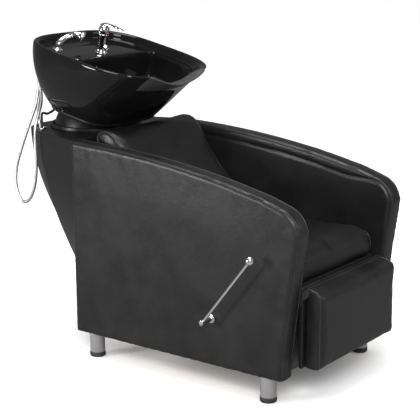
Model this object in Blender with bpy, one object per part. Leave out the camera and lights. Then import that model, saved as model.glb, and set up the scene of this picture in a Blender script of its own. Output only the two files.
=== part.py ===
"""Shampoo backwash unit: upholstered chair with leg rest, rear cabinet and tilting bowl.

Chair frame in metres: +Z up, the sitter faces -Y, +X is the sitter's left hand.
Y = 0 is the lower front corner of the side panels and Z = 0 is the floor.  The whole
unit hangs on one empty, UNIT_SHIFT, which brings the middle of its footprint to the origin.
"""

import math

import bmesh
import bpy
import numpy as np
from mathutils import Matrix, Vector

# ---- driving dimensions ------------------------------------------------------------
UNIT_SHIFT = (0.0293, -0.5444, 0.0)
GAP = 0.0003

HALF_WIDTH = 0.310          # outer face of a side panel
PANEL_THICK = 0.070
PANEL_LENGTH = 0.8175
PANEL_BOTTOM = 0.083
ARM_LINE = (0.6114, 0.2807, -0.2179, 0.0518)    # arm height as a cubic in y
PAD_THICK = 0.011           # foam and leatherette on each face of a side panel
BAND_THICK = 0.009          # padded band around the edge of a side panel
NOSE_RADIUS = 0.085
NOSE_CENTRE = (0.026, 0.527)
FRONT_LEAN = 0.059
INNER_FACE = HALF_WIDTH - PANEL_THICK

LEG_RADIUS = 0.025
LEG_INSET = (0.036, 0.063)
FOOT_HEIGHT = 0.016
LEG_FLANGE_THICK = 0.004

SEAT_FRONT = -0.016
SEAT_BACK = 0.452
SEAT_BOTTOM = 0.358
SEAT_TOP = 0.450
SEAT_HALF_WIDTH = INNER_FACE - 0.003
SEAT_BOARD_THICK = 0.015
RAIL_THICK = 0.028

BACK_HALF_WIDTH = INNER_FACE - 0.003
BACK_FRONT_LINE = [(0.462, 0.462), (0.530, 0.536), (0.592, 0.590), (0.645, 0.658), (0.684, 0.722)]
BACK_REAR_LINE = [(0.792, 0.728), (0.745, 0.640), (0.690, 0.560), (0.620, 0.487), (0.540, 0.420)]
BACK_CROWN = (0.748, 0.764)

LEG_REST_AXIS = (-0.040, 0.348)
LEG_REST_HALF_WIDTH = 0.231
LEG_REST_FRONT = -0.089
LEG_REST_REAR = -0.016
LEG_REST_LOW = 0.104
LEG_REST_HIGH = 0.364
LEG_REST_BOARD = 0.012
CRANK_AXIS = (0.249, 0.236)
CRANK_ARM = (0.045, -0.120)     # from the shaft to the link pin, and the same on the leg rest
SHAFT_RADIUS = 0.008
LEVER_PLANE = -0.355
LEVER_REACH = (-0.174, 0.220)   # from the shaft to the middle of the ball (y, z)
LEVER_ROD_RADIUS = 0.0045
BALL_RADIUS = 0.0140
BORE_RADIUS = 0.0118

DECK_TOP = 0.7245
DECK_THICK = 0.010
DECK_CORNERS = [(0.297, 0.0), (0.292, 0.010), (0.224, 0.222), (0.206, 0.252), (0.164, 0.322),
                (0.142, 0.341), (0.070, 0.360)]
SHELL_LOW = 0.210
SHELL_CURVE = 1.9
SHELL_WALL = 0.006
GROMMET_SPOT = (-0.165, 1.088)
GROMMET_HOLE = 0.0135
SLOT_SPOT = (-0.122, 1.112)

BOWL_ORIGIN = (0.0, 0.870, 0.9876)
BOWL_TILT = math.radians(12.54)
BOWL_HALF_WIDTH = 0.250
BOWL_REAR = 0.252
BOWL_FRONT = 0.284
BOWL_DEPTH = 0.212
BOWL_WALL = 0.012
BASIN_REAR = 0.040              # rear edge of the basin, where the tap ledge begins
BASIN_DEPTH = 0.198
LEDGE_LEVEL = -0.028
LEDGE_THICK = 0.013
DRAIN_SPOT = (0.0, -0.020)
TILT_AXIS = (0.983, 0.700)
BALL_SEAT_RADIUS = 0.148
BASE_PLATE = 0.226              # depth of the base plate's lower face below the rim plane

TAP_SPOT = (0.0, 0.077)
SPRAY_SPOT = (-0.125, 0.165)
TAP_BODY_TOP = 0.0405
TAP_CAP_RADIUS = 0.0190
TAP_CAP_CENTRE = 0.0540
TAP_BLADE = [       # (reach ahead of the tap's axis, top, thickness, half width)
    (-0.0165, 0.0150, 0.0022, 0.0060), (-0.0120, 0.0200, 0.0060, 0.0085), (-0.0040, 0.0235, 0.0120, 0.0105),
    (0.0060, 0.0250, 0.0120, 0.0110), (0.0140, 0.0254, 0.0110, 0.0105), (0.0260, 0.0256, 0.0075, 0.0092),
    (0.0420, 0.0254, 0.0058, 0.0080), (0.0600, 0.0240, 0.0050, 0.0072), (0.0740, 0.0222, 0.0044, 0.0068),
    (0.0810, 0.0208, 0.0036, 0.0058), (0.0840, 0.0198, 0.0022, 0.0036)]
SHOWER_AIM = (0.62, -0.70, -0.35)
LINK_PIN_RADIUS = 0.004
PIVOT_PIN_RADIUS = 0.005

HOSE_STEP = 1.65            # points along a hose, in diameters
# name, diameter, finish, start in the bowl's frame, route outside the bowl, end in the bowl's frame
HOSES = [
    ("shower_hose", 0.0115, "hose_chrome",
     [(-0.125, 0.165, -0.0758), (-0.125, 0.1665, -0.095), (-0.125, 0.176, -0.114), (-0.126, 0.196, -0.126)],
     [(-0.130, 1.120, 0.893), (-0.134, 1.122, 0.872), (-0.140, 1.108, 0.846), (-0.165, 1.085, 0.812),
      (-0.203, 1.060, 0.785), (-0.232, 1.048, 0.744), (-0.234, 1.051, 0.691), (-0.232, 1.053, 0.602),
      (-0.228, 1.068, 0.535), (-0.222, 1.097, 0.487), (-0.214, 1.133, 0.466), (-0.205, 1.165, 0.475),
      (-0.195, 1.193, 0.518), (-0.188, 1.194, 0.579), (-0.180, 1.175, 0.645), (-0.160, 1.150, 0.735),
      (-0.130, 1.148, 0.792), (-0.105, 1.158, 0.837), (-0.092, 1.158, 0.868), (-0.085, 1.140, 0.893)],
     [(-0.080, 0.190, -0.118), (-0.045, 0.140, -0.111), (-0.013, 0.102, -0.098), (0.0, 0.0855, -0.082),
      (0.0, 0.0845, -0.0672)]),
    ("supply_hose_hot", 0.0085, "braid",
     [],
     [(-0.1696, 1.088, 0.640), (-0.1696, 1.088, 0.700), (-0.1696, 1.088, 0.735), (-0.1685, 1.095, 0.757),
      (-0.160, 1.107, 0.782), (-0.146, 1.118, 0.804), (-0.124, 1.131, 0.831), (-0.104, 1.137, 0.853),
      (-0.081, 1.142, 0.877),
      (-0.063, 1.133, 0.894)],
     [(-0.045, 0.195, -0.140), (-0.025, 0.140, -0.136), (-0.010, 0.088, -0.112), (-0.0065, 0.0715, -0.086),
      (-0.0065, 0.0715, -0.0672)]),
    ("supply_hose_cold", 0.0085, "rubber",
     [],
     [(-0.1604, 1.088, 0.640), (-0.1604, 1.088, 0.700), (-0.1604, 1.088, 0.735), (-0.1555, 1.094, 0.757),
      (-0.147, 1.101, 0.770), (-0.133, 1.106, 0.772), (-0.115, 1.108, 0.767), (-0.096, 1.106, 0.771),
      (-0.080, 1.105, 0.780), (-0.065, 1.110, 0.802), (-0.052, 1.122, 0.840), (-0.040, 1.132, 0.875),
      (-0.029, 1.122, 0.896)],
     [(-0.012, 0.195, -0.140), (0.000, 0.140, -0.136), (0.008, 0.086, -0.110), (0.0065, 0.0715, -0.086),
      (0.0065, 0.0715, -0.0672)]),
]

RING_POINTS = 48


# ---- small tools -------------------------------------------------------------------
def clear_scene():
    """Remove every object that the new file holds."""
    for thing in list(bpy.data.objects):
        bpy.data.objects.remove(thing, do_unlink=True)


def finish_material(name, colour, roughness, metallic=0.0):
    """Make one Principled finish."""
    made = bpy.data.materials.new(name)
    made.use_nodes = True
    made.diffuse_color = (*colour, 1.0)
    shader = made.node_tree.nodes["Principled BSDF"]
    shader.inputs["Base Color"].default_value = (*colour, 1.0)
    shader.inputs["Roughness"].default_value = roughness
    shader.inputs["Metallic"].default_value = metallic
    return made


def empty(name, place, parent=None, turn=(0.0, 0.0, 0.0)):
    """Add an empty that pieces hang on; place is relative to its parent."""
    made = bpy.data.objects.new(name, None)
    bpy.context.collection.objects.link(made)
    made.location = place
    made.rotation_euler = turn
    made.parent = parent
    return made


def add_piece(name, mesh, material, parent, origin=(0.0, 0.0, 0.0), smooth=True):
    """Turn a mesh into a named object on its parent, with its origin at a given point."""
    mesh.transform(Matrix.Translation(-Vector(origin)))
    made = bpy.data.objects.new(name, mesh)
    bpy.context.collection.objects.link(made)
    made.data.materials.append(material)
    made.parent = parent
    made.location = origin
    if smooth:
        mesh.shade_smooth()
        mesh.set_sharp_from_angle(angle=math.radians(35.0))
    return made


def mesh_from(name, points, faces):
    """Make a closed mesh whose faces point out."""
    mesh = bpy.data.meshes.new(name)
    mesh.from_pydata([tuple(map(float, p)) for p in points], [], faces)
    shape = bmesh.new()
    shape.from_mesh(mesh)
    bmesh.ops.remove_doubles(shape, verts=shape.verts, dist=0.00002)
    bmesh.ops.recalc_face_normals(shape, faces=shape.faces)
    shape.to_mesh(mesh)
    shape.free()
    return mesh


def strip_cap(start, count):
    """Faces across a ring whose points mirror left to right, strip by strip from front to rear."""
    faces = []
    for i in range(-count // 4, count // 4):
        corners = [i % count, (i + 1) % count, (count // 2 - i - 1) % count, (count // 2 - i) % count]
        faces.append(tuple(start + k for k in dict.fromkeys(corners)))
    return faces


def ring_mesh(name, rings, close=False, strips=False):
    """Skin a list of equal rings; the ends get caps unless the rings close on themselves.

    With strips the ends may be hollow or domed, and every side face is split the same way.
    """
    rings = [np.asarray(r, float) for r in rings]
    count = len(rings[0])
    points = np.concatenate(rings)
    faces = []
    spans = len(rings) if close else len(rings) - 1
    for j in range(spans):
        low = j * count
        high = ((j + 1) % len(rings)) * count
        for i in range(count):
            k = (i + 1) % count
            if strips:
                faces += [(low + i, low + k, high + k), (low + i, high + k, high + i)]
            else:
                faces.append((low + i, low + k, high + k, high + i))
    last = len(points) - count
    if strips:
        faces += strip_cap(0, count) + strip_cap(last, count)
    elif not close:
        faces += [tuple(range(count)), tuple(range(last, len(points)))]
    return mesh_from(name, points, faces)


def turned_mesh(name, profile, steps=24, base=(0.0, 0.0, 0.0), axis="Z", closed=False):
    """Turn a profile of (radius, height) about an axis through base."""
    angles = np.linspace(0.0, 2.0 * math.pi, steps, endpoint=False)
    rings = []
    for radius, height in profile:
        side_a = radius * np.cos(angles)
        side_b = radius * np.sin(angles)
        along = np.full(steps, height)
        order = {"Z": (side_a, side_b, along), "X": (along, side_a, side_b),
                 "Y": (side_b, along, side_a)}[axis]
        rings.append(np.stack(order, axis=1) + np.array(base))
    return ring_mesh(name, rings, close=closed)


def cylinder_across(name, radius, low_x, high_x, spot, steps=20):
    """Make a plain cylinder along X around a (y, z) spot."""
    profile = [(0.0, low_x), (radius, low_x), (radius, high_x), (0.0, high_x)]
    return turned_mesh(name, profile, steps, (0.0, *spot), axis="X")


def tube_across(name, bore, radius, low_x, high_x, spot, steps=20):
    """Make a ring along X around a (y, z) spot."""
    profile = [(bore, low_x), (radius, low_x), (radius, high_x), (bore, high_x)]
    return turned_mesh(name, profile, steps, (0.0, *spot), axis="X", closed=True)


def link_plate(name, first, first_radius, second, second_radius, low_x, high_x, steps=12):
    """Make a flat plate with two round ends about two (y, z) spots."""
    run = Vector(second) - Vector(first)
    heading = math.atan2(run.y, run.x)
    outline = []
    for centre, radius, start in ((first, first_radius, heading + 0.5 * math.pi),
                                  (second, second_radius, heading - 0.5 * math.pi)):
        for angle in np.linspace(start, start + math.pi, steps):
            outline.append((centre[0] + radius * math.cos(angle), centre[1] + radius * math.sin(angle)))
    return slab_mesh(name, outline, low_x, high_x)


def aimed(mesh, spot, direction):
    """Turn a mesh made along +Z so that it points along a direction from a spot."""
    turn = Vector(direction).to_track_quat("Z", "Y").to_matrix().to_4x4()
    mesh.transform(Matrix.Translation(Vector(spot)) @ turn)
    return mesh


def swept_mesh(name, points, radii, steps=18):
    """Skin round sections of changing radius along a path."""
    path = np.asarray(points, float)
    heading = np.gradient(path, axis=0)
    heading /= np.linalg.norm(heading, axis=1)[:, None]
    side = np.cross(heading[0], [0.31, 0.87, 0.11])
    angles = np.linspace(0.0, 2.0 * math.pi, steps, endpoint=False)
    rings = []
    for centre, along, radius in zip(path, heading, radii):
        side = side - along * np.dot(side, along)
        side /= np.linalg.norm(side)
        other = np.cross(along, side)
        rings.append(centre + radius * (np.outer(np.cos(angles), side) + np.outer(np.sin(angles), other)))
    return ring_mesh(name, rings)


def box_mesh(name, low, high, round_edge=0.0):
    """Make a box between two corners, with its edges rounded by a bevel."""
    shape = bmesh.new()
    bmesh.ops.create_cube(shape, size=1.0)
    size = Vector(high) - Vector(low)
    middle = (Vector(high) + Vector(low)) / 2.0
    bmesh.ops.scale(shape, vec=size, verts=shape.verts)
    bmesh.ops.translate(shape, vec=middle, verts=shape.verts)
    if round_edge > 0.0:
        bmesh.ops.bevel(shape, geom=shape.edges, offset=round_edge, segments=2,
                        profile=0.5, affect="EDGES")
    mesh = bpy.data.meshes.new(name)
    shape.to_mesh(mesh)
    shape.free()
    return mesh


def slab_mesh(name, outline, low_x, high_x, round_edge=0.0):
    """Extrude a (y, z) outline across the chair from low_x to high_x."""
    left = [(low_x, y, z) for y, z in outline]
    right = [(high_x, y, z) for y, z in outline]
    mesh = ring_mesh(name, [left, right])
    if round_edge > 0.0:
        shape = bmesh.new()
        shape.from_mesh(mesh)
        rim = [e for e in shape.edges if abs(e.verts[0].co.x - e.verts[1].co.x) < 1e-6]
        bmesh.ops.bevel(shape, geom=rim, offset=round_edge, segments=2, profile=0.5,
                        affect="EDGES")
        shape.to_mesh(mesh)
        shape.free()
    return mesh


def cutter(name, mesh, parent):
    """Add a shape that only cuts others."""
    made = bpy.data.objects.new(name, mesh)
    bpy.context.collection.objects.link(made)
    made.parent = parent
    made.hide_render = True
    made.display_type = "WIRE"
    return made


def cut(piece, *tools):
    """Take the tools' shapes out of a piece."""
    for tool in tools:
        step = piece.modifiers.new("cut_" + tool.name, "BOOLEAN")
        step.operation = "DIFFERENCE"
        step.solver = "EXACT"
        step.object = tool


def join_shapes(piece, *tools):
    """Grow a piece by the tools' shapes."""
    for tool in tools:
        step = piece.modifiers.new("join_" + tool.name, "BOOLEAN")
        step.operation = "UNION"
        step.solver = "EXACT"
        step.object = tool


def smooth_route(points, spacing):
    """Read a smooth curve through the route's points at an even spacing."""
    route = np.asarray(points, float)
    padded = np.vstack([2 * route[0] - route[1], route, 2 * route[-1] - route[-2]])
    fine = []
    for i in range(1, len(padded) - 2):
        before, here, there, after = padded[i - 1:i + 3]
        for t in np.linspace(0.0, 1.0, 24, endpoint=False):
            fine.append(0.5 * (2 * here + (there - before) * t
                               + (2 * before - 5 * here + 4 * there - after) * t * t
                               + (3 * here - before - 3 * there + after) * t ** 3))
    fine.append(route[-1])
    fine = np.array(fine)
    run = np.concatenate([[0.0], np.cumsum(np.linalg.norm(np.diff(fine, axis=0), axis=1))])
    count = max(4, int(round(run[-1] / spacing)) + 1)
    even = np.linspace(0.0, run[-1], count)
    return np.stack([np.interp(even, run, fine[:, k]) for k in range(3)], axis=1)


def hose(name, points, diameter, material, parent):
    """Lay a hose as a capped round tube along a smooth route."""
    path = smooth_route(points, HOSE_STEP * diameter)
    curve = bpy.data.curves.new(name, "CURVE")
    curve.dimensions = "3D"
    curve.bevel_depth = diameter / 2.0
    curve.bevel_resolution = 2
    curve.use_fill_caps = True
    line = curve.splines.new("POLY")
    line.points.add(len(path) - 1)
    for spot, where in zip(line.points, path):
        spot.co = (*map(float, where), 1.0)
    made = bpy.data.objects.new(name, curve)
    bpy.context.collection.objects.link(made)
    made.data.materials.append(material)
    made.parent = parent
    return made


# ---- outlines ----------------------------------------------------------------------
def arm_height(y):
    """Height of the arm's top line at a distance y behind the panel's front."""
    return sum(term * y ** power for power, term in enumerate(ARM_LINE))


def front_lean(z):
    """How far the panel's front edge stands ahead of its lower corner at a height."""
    rise = max(0.0, z - PANEL_BOTTOM) / (NOSE_CENTRE[1] - PANEL_BOTTOM)
    return -FRONT_LEAN * rise ** 1.15


def panel_outline(inset=0.0):
    """Side panel outline (y, z), moved inwards by inset on the front, top and rear."""
    rear = PANEL_LENGTH - inset
    points = [(rear, PANEL_BOTTOM), (rear, arm_height(PANEL_LENGTH) - inset)]
    for y in np.linspace(0.72, 0.06, 8):
        points.append((y, arm_height(y) - inset))
    for angle in np.radians(np.linspace(106.0, 176.0, 8)):
        points.append((NOSE_CENTRE[0] + (NOSE_RADIUS - inset) * math.cos(angle),
                       NOSE_CENTRE[1] + (NOSE_RADIUS - inset) * math.sin(angle)))
    for z in np.linspace(0.47, PANEL_BOTTOM, 6):
        points.append((front_lean(z) + inset, z))
    return points


def band_outline(outer, inner):
    """Open strip between two panel outlines, from the rear foot over the arm to the front foot."""
    return panel_outline(outer) + panel_outline(inner)[::-1]


def superellipse(half, rear, front, rear_power, front_power, count):
    """Plan outline whose rear and front halves have their own reach and roundness."""
    angles = np.linspace(0.0, 2.0 * math.pi, count, endpoint=False)
    across = np.cos(angles)
    along = np.sin(angles)
    power = np.where(along > 0.0, rear_power, front_power)
    reach = (np.abs(across) ** power + np.abs(along) ** power) ** (-1.0 / power)
    return np.stack([half * reach * across, np.where(along > 0.0, rear, front) * reach * along], axis=1)


def bowl_reach(depth):
    """Half width, rear and front reach of the bowl's outside at a depth below the rim."""
    share = depth / BOWL_DEPTH
    keep = 1.0 - 0.28 * share ** 2.15
    return BOWL_HALF_WIDTH * keep, BOWL_REAR * keep, BOWL_FRONT * (1.0 - 0.60 * share ** 0.85)


def bowl_ring(depth, shrink=0.0, count=RING_POINTS):
    """Bowl outline in its own frame at a depth below the rim, moved inwards by shrink.

    The rear half keeps its size for longer than the front half, which draws in under the
    sitter's neck.
    """
    half, rear, front = (reach - shrink for reach in bowl_reach(depth))
    return superellipse(half, rear, front, 3.4, 3.3, count)


def neck_dip(x, v):
    """How far the front lip dips below the rim plane for the sitter's neck."""
    near_front = np.clip((-v - 0.14) / 0.11, 0.0, 1.0)
    across = np.clip(1.0 - (x / 0.145) ** 2, 0.0, 1.0)
    return 0.034 * across ** 1.3 * near_front


def shell_ring(z, wall=0.0):
    """The cabinet's outline at a height: a half from the panel to the middle, then its mirror."""
    rise = max(0.0, z - SHELL_LOW) / (DECK_TOP - SHELL_LOW)
    depth = 1.0 - (1.0 - rise) ** SHELL_CURVE
    start = PANEL_LENGTH + GAP
    half = [(x - wall * (1.0 if x > 0.1 else 0.3), start + max(wall, back * depth - wall))
            for x, back in DECK_CORNERS]
    other = [(-x, y) for x, y in reversed(half)]
    return np.array([(x, y, z) for x, y in half + other])


# ---- upholstered body ----------------------------------------------------------------
def build_side(side, parent, finishes):
    """One side panel: timber frame, padded faces, padded edge band, two legs with feet."""
    name = "left" if side > 0 else "right"
    outer = side * HALF_WIDTH
    inner = side * INNER_FACE
    pad = side * PAD_THICK
    gap = side * GAP
    step = BAND_THICK + GAP

    inside = sorted((outer - pad - gap, inner + pad + gap))
    core = add_piece("side_frame_" + name, slab_mesh("side_frame_" + name, panel_outline(step), *inside),
                     finishes["timber"], parent, smooth=False)
    band = slab_mesh("edge_band_" + name, band_outline(0.0, BAND_THICK), *inside)
    add_piece("edge_band_" + name, band, finishes["leather"], parent)
    skin = add_piece("outer_pad_" + name,
                     slab_mesh("outer_pad_" + name, panel_outline(0.001), *sorted((outer, outer - pad))),
                     finishes["leather"], parent)
    lining = add_piece("inner_pad_" + name,
                       slab_mesh("inner_pad_" + name, panel_outline(0.001), *sorted((inner, inner + pad))),
                       finishes["leather"], parent)
    depth = 0.0498 if side > 0 else 0.090
    low_x, high_x = sorted((inner - side * 0.010, inner + side * depth))
    bore = cylinder_across("shaft_bore_" + name, BORE_RADIUS, low_x, high_x, CRANK_AXIS)
    bore = cutter("shaft_bore_" + name, bore, parent)
    cut(core, bore)
    cut(lining, bore)
    if side < 0:
        cut(skin, bore)

    for place, y in (("front", LEG_INSET[1]), ("rear", PANEL_LENGTH - LEG_INSET[1])):
        x = side * (HALF_WIDTH - LEG_INSET[0])
        top = PANEL_BOTTOM - GAP
        tube = [(0.0, FOOT_HEIGHT + GAP), (LEG_RADIUS, FOOT_HEIGHT + GAP),
                (LEG_RADIUS, top - LEG_FLANGE_THICK),
                (LEG_RADIUS + 0.004, top - LEG_FLANGE_THICK), (LEG_RADIUS + 0.004, top), (0.0, top)]
        leg = turned_mesh("leg", tube, 20, (x, y, 0.0))
        add_piece("leg_%s_%s" % (place, name), leg, finishes["satin_chrome"], parent)
        cap = [(0.0, 0.0), (LEG_RADIUS - 0.001, 0.0), (LEG_RADIUS + 0.001, 0.003),
               (LEG_RADIUS + 0.001, FOOT_HEIGHT),
               (0.0, FOOT_HEIGHT)]
        foot = turned_mesh("foot", cap, 20, (x, y, 0.0))
        add_piece("foot_%s_%s" % (place, name), foot, finishes["rubber"], parent)


def build_seat(parent, finishes):
    """Rails, seat board, seat cushion, back board and back cushion between the side panels."""
    reach = INNER_FACE - GAP
    under_board = SEAT_BOTTOM - SEAT_BOARD_THICK - 2 * GAP
    rails = {"seat_front_rail": ((0.014, 0.262), (0.014 + RAIL_THICK, under_board)),
             "lower_front_rail": ((0.022, 0.090), (0.022 + RAIL_THICK, 0.130)),
             "seat_rear_rail": ((0.434, 0.262), (0.434 + RAIL_THICK, under_board))}
    for name, (low, high) in rails.items():
        mesh = box_mesh(name, (-reach, *low), (reach, *high), 0.002)
        add_piece(name, mesh, finishes["timber"], parent, smooth=False)
    board = box_mesh("seat_board", (-reach + 0.002, 0.003, SEAT_BOTTOM - SEAT_BOARD_THICK - GAP),
                     (reach - 0.002, 0.466, SEAT_BOTTOM - GAP), 0.001)
    add_piece("seat_board", board, finishes["timber"], parent, smooth=False)

    front = SEAT_FRONT
    cushion = [(front + 0.006, SEAT_BOTTOM), (front, SEAT_BOTTOM + 0.012), (front, SEAT_BOTTOM + 0.050),
               (front + 0.008, SEAT_TOP - 0.022), (front + 0.024, SEAT_TOP - 0.006),
               (front + 0.050, SEAT_TOP),
               (SEAT_BACK - 0.006, SEAT_TOP), (SEAT_BACK, SEAT_TOP - 0.006),
               (SEAT_BACK + 0.012, SEAT_BOTTOM)]
    mesh = slab_mesh("seat_cushion", cushion, -SEAT_HALF_WIDTH, SEAT_HALF_WIDTH, 0.010)
    add_piece("seat_cushion", mesh, finishes["leather"], parent)

    outline = BACK_FRONT_LINE + [(0.716, 0.750), BACK_CROWN, (0.778, 0.752)] + BACK_REAR_LINE
    mesh = slab_mesh("back_cushion", outline, -BACK_HALF_WIDTH, BACK_HALF_WIDTH, 0.012)
    add_piece("back_cushion", mesh, finishes["leather"], parent)
    clear = 0.0086
    thick = 0.014
    low = BACK_REAR_LINE[-2]
    high = BACK_REAR_LINE[1]
    run = Vector((high[0] - low[0], high[1] - low[1])).normalized()
    away = Vector((run.y, -run.x))
    corners = [Vector(low) + away * clear, Vector(high) + away * clear]
    corners += [corners[1] + away * thick, corners[0] + away * thick]
    mesh = slab_mesh("back_board", [(c.x, c.y) for c in corners], -reach + 0.002, reach - 0.002)
    add_piece("back_board", mesh, finishes["timber"], parent, smooth=False)


def build_cabinet(parent, finishes):
    """Rear cabinet shell, its deck with the hose holes, the grommet, the collar and the tilt blocks."""
    lip = DECK_TOP - DECK_THICK - GAP
    outer = [shell_ring(z) for z in (SHELL_LOW + 0.012, 0.26, 0.32, 0.39, 0.47, 0.56, 0.65, lip)]
    inner = [shell_ring(z, SHELL_WALL) for z in (lip, 0.65, 0.56, 0.47, 0.39, 0.32, 0.268)]
    add_piece("rear_cabinet", ring_mesh("rear_cabinet", outer + inner), finishes["shell"], parent)

    rings = []
    for height, inset in ((DECK_TOP - DECK_THICK, 0.0), (DECK_TOP - 0.002, 0.0), (DECK_TOP, 0.002)):
        ring = shell_ring(DECK_TOP, inset)
        ring[:, 2] = height
        rings.append(ring)
    deck = add_piece("cabinet_deck", ring_mesh("cabinet_deck", rings), finishes["shell"], parent)
    tools = []
    for name, spot, radius, steps in (("collar_hole", (0.0, TILT_AXIS[0]), BALL_SEAT_RADIUS + 0.002, 48),
                                      ("grommet_hole", GROMMET_SPOT, GROMMET_HOLE + 0.003, 20),
                                      ("slot_hole", SLOT_SPOT, 0.010, 16)):
        shape = turned_mesh(name, [(0.0, 0.70), (radius, 0.70), (radius, 0.74), (0.0, 0.74)], steps,
                            (*spot, 0.0))
        tools.append(cutter(name, shape, parent))
    cut(deck, *tools)

    bore = GROMMET_HOLE
    wall = GROMMET_HOLE + 0.003 - GAP
    ring = [(bore, DECK_TOP - 0.006), (wall, DECK_TOP - 0.006), (wall, DECK_TOP + GAP),
            (wall + 0.006, DECK_TOP + GAP),
            (wall + 0.004, DECK_TOP + 0.004), (bore + 0.001, DECK_TOP + 0.004), (bore, DECK_TOP + 0.003)]
    mesh = turned_mesh("hose_grommet", ring, 20, (*GROMMET_SPOT, 0.0), closed=True)
    add_piece("hose_grommet", mesh, finishes["chrome"], parent)

    hole = BALL_SEAT_RADIUS + 0.0012
    flange = [(hole, DECK_TOP + GAP), (hole + 0.0115, DECK_TOP + GAP), (hole + 0.0100, DECK_TOP + 0.011),
              (hole + 0.0060, DECK_TOP + 0.0135), (hole + 0.0010, DECK_TOP + 0.0125),
              (hole, DECK_TOP + 0.011)]
    mesh = turned_mesh("bowl_collar", flange, 48, (0.0, TILT_AXIS[0], 0.0), closed=True)
    add_piece("bowl_collar", mesh, finishes["shell"], parent)

    under = DECK_TOP - DECK_THICK - GAP
    for side, name in ((1, "left"), (-1, "right")):
        near = side * (BALL_SEAT_RADIUS + 0.0015)
        far = side * (BALL_SEAT_RADIUS + 0.026)
        low_x, high_x = sorted((near, far))
        mesh = box_mesh("tilt_block_" + name, (low_x, TILT_AXIS[0] - 0.020, under - 0.034),
                        (high_x, TILT_AXIS[0] + 0.020, under), 0.002)
        block = add_piece("tilt_block_" + name, mesh, finishes["steel"], parent, smooth=False)
        bore = turned_mesh("tilt_bore_" + name, [(0.0, low_x - 0.01), (0.0072, low_x - 0.01),
                                                 (0.0072, high_x + 0.01),
                                                 (0.0, high_x + 0.01)], 16, (0.0, *TILT_AXIS), axis="X")
        cut(block, cutter("tilt_bore_" + name, bore, parent))


# ---- bowl ----------------------------------------------------------------------------
def lift(ring, depth):
    """Give a plan ring its height in the bowl's frame, with the neck dip near the rim."""
    fade = max(0.0, 1.0 - depth / 0.09)
    return np.column_stack([ring, -depth - fade * neck_dip(ring[:, 0], ring[:, 1])])


def basin_ring(depth):
    """Basin outline in the bowl's frame; its rear stops short at the tap ledge."""
    share = depth / BASIN_DEPTH
    wall = 0.026 - 0.010 * min(1.0, max(0.0, (depth - 0.050) / 0.070))
    half, _, front = bowl_reach(depth)
    narrow = 1.0 - 0.35 * share ** 6
    return superellipse((half - wall) * narrow, BASIN_REAR * (1.0 - 0.35 * share), (front - wall) * narrow,
                        5.0, 2.9, RING_POINTS)


def rear_arc(ring, wall, count=25):
    """The part of a plan ring behind a cross wall, as evenly spaced points."""
    arc = ring[ring[:, 1] > wall]
    arc = np.vstack([(arc[0, 0], wall), arc, (arc[-1, 0], wall)])
    run = np.concatenate([[0.0], np.cumsum(np.linalg.norm(np.diff(arc, axis=0), axis=1))])
    even = np.linspace(0.0, run[-1], count)
    return np.stack([np.interp(even, run, arc[:, k]) for k in range(2)], axis=1)


def bowl_skin(grow):
    """Rings over the bowl's outside and rim down to the ledge level, moved outwards by grow."""
    rings = [lift(bowl_ring(d, -grow), d) for d in (0.212, 0.195, 0.170, 0.140, 0.110, 0.080, 0.052, 0.028,
                                                    0.012)]
    for shrink, depth in ((0.0015 - grow, 0.003), (0.006, -grow), (0.011, -grow),
                          (0.0165 + 0.7 * grow, 0.004 - 0.7 * grow),
                          (0.019 + grow, 0.012), (0.022 + grow, -LEDGE_LEVEL)):
        rings.append(lift(bowl_ring(max(depth, 0.0), shrink), depth))
    return rings


def build_bowl(frame, finishes):
    """Glazed bowl with its basin, tap ledge, plumbing hollow at the rear and drilled holes."""
    bowl = add_piece("bowl", ring_mesh("bowl", bowl_skin(0.0), strips=True), finishes["ceramic"], frame)

    basin = [lift(basin_ring(0.0), -0.012)]
    for depth in (0.028, 0.050, 0.080, 0.110, 0.140, 0.162, 0.178, 0.189, 0.195, BASIN_DEPTH):
        ring = basin_ring(depth)
        basin.append(np.column_stack([ring, np.full(len(ring), -depth)]))
    tools = [cutter("basin_hollow", ring_mesh("basin_hollow", basin, strips=True), frame)]

    wall = BASIN_REAR + 0.016
    hollow = []
    for depth in (-LEDGE_LEVEL + LEDGE_THICK, 0.080, 0.115, 0.150, 0.185, 0.222):
        arc = rear_arc(bowl_ring(min(depth, BOWL_DEPTH), BOWL_WALL, 192), wall)
        hollow.append(np.column_stack([arc, np.full(len(arc), -depth)]))
    tools.append(cutter("plumbing_hollow", ring_mesh("plumbing_hollow", hollow), frame))
    back = box_mesh("rear_opening", (-0.135, BOWL_REAR - 0.10, -0.158), (0.135, BOWL_REAR + 0.05, -0.085),
                    0.012)
    tools.append(cutter("rear_opening", back, frame))
    for name, spot, radius, low, high in (("tap_hole", TAP_SPOT, 0.0165, -0.06, 0.0),
                                          ("spray_hole", SPRAY_SPOT, 0.0125, -0.06, 0.0),
                                          ("drain_hole", DRAIN_SPOT, 0.0235, -0.25, -0.17)):
        shape = turned_mesh(name, [(0.0, low), (radius, low), (radius, high), (0.0, high)], 20,
                            (*spot, 0.0))
        tools.append(cutter(name, shape, frame))
    cut(bowl, *tools)

    front = 3 * RING_POINTS // 4
    saddle = []
    for shrink, depth in ((-0.0030, 0.0600), (-0.0048, 0.0560), (-0.0052, 0.0300), (-0.0050, 0.0100),
                          (-0.0020, 0.0000),
                          (0.0040, -0.0040), (0.0130, -0.0042), (0.0200, -0.0015), (0.0245, 0.0070),
                          (0.0262, 0.0190),
                          (0.0240, 0.0215), (0.0100, 0.0300)):
        saddle.append(lift(bowl_ring(max(depth, 0.0), shrink), depth)[front - 4:front + 5])
    saddle = np.array(saddle)
    rest = add_piece("neck_rest", ring_mesh("neck_rest", [saddle[:, i] for i in range(saddle.shape[1])]),
                     finishes["silicone"], frame)
    cut(rest, cutter("lip_clearance", ring_mesh("lip_clearance", bowl_skin(0.0008), strips=True), frame))


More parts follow.
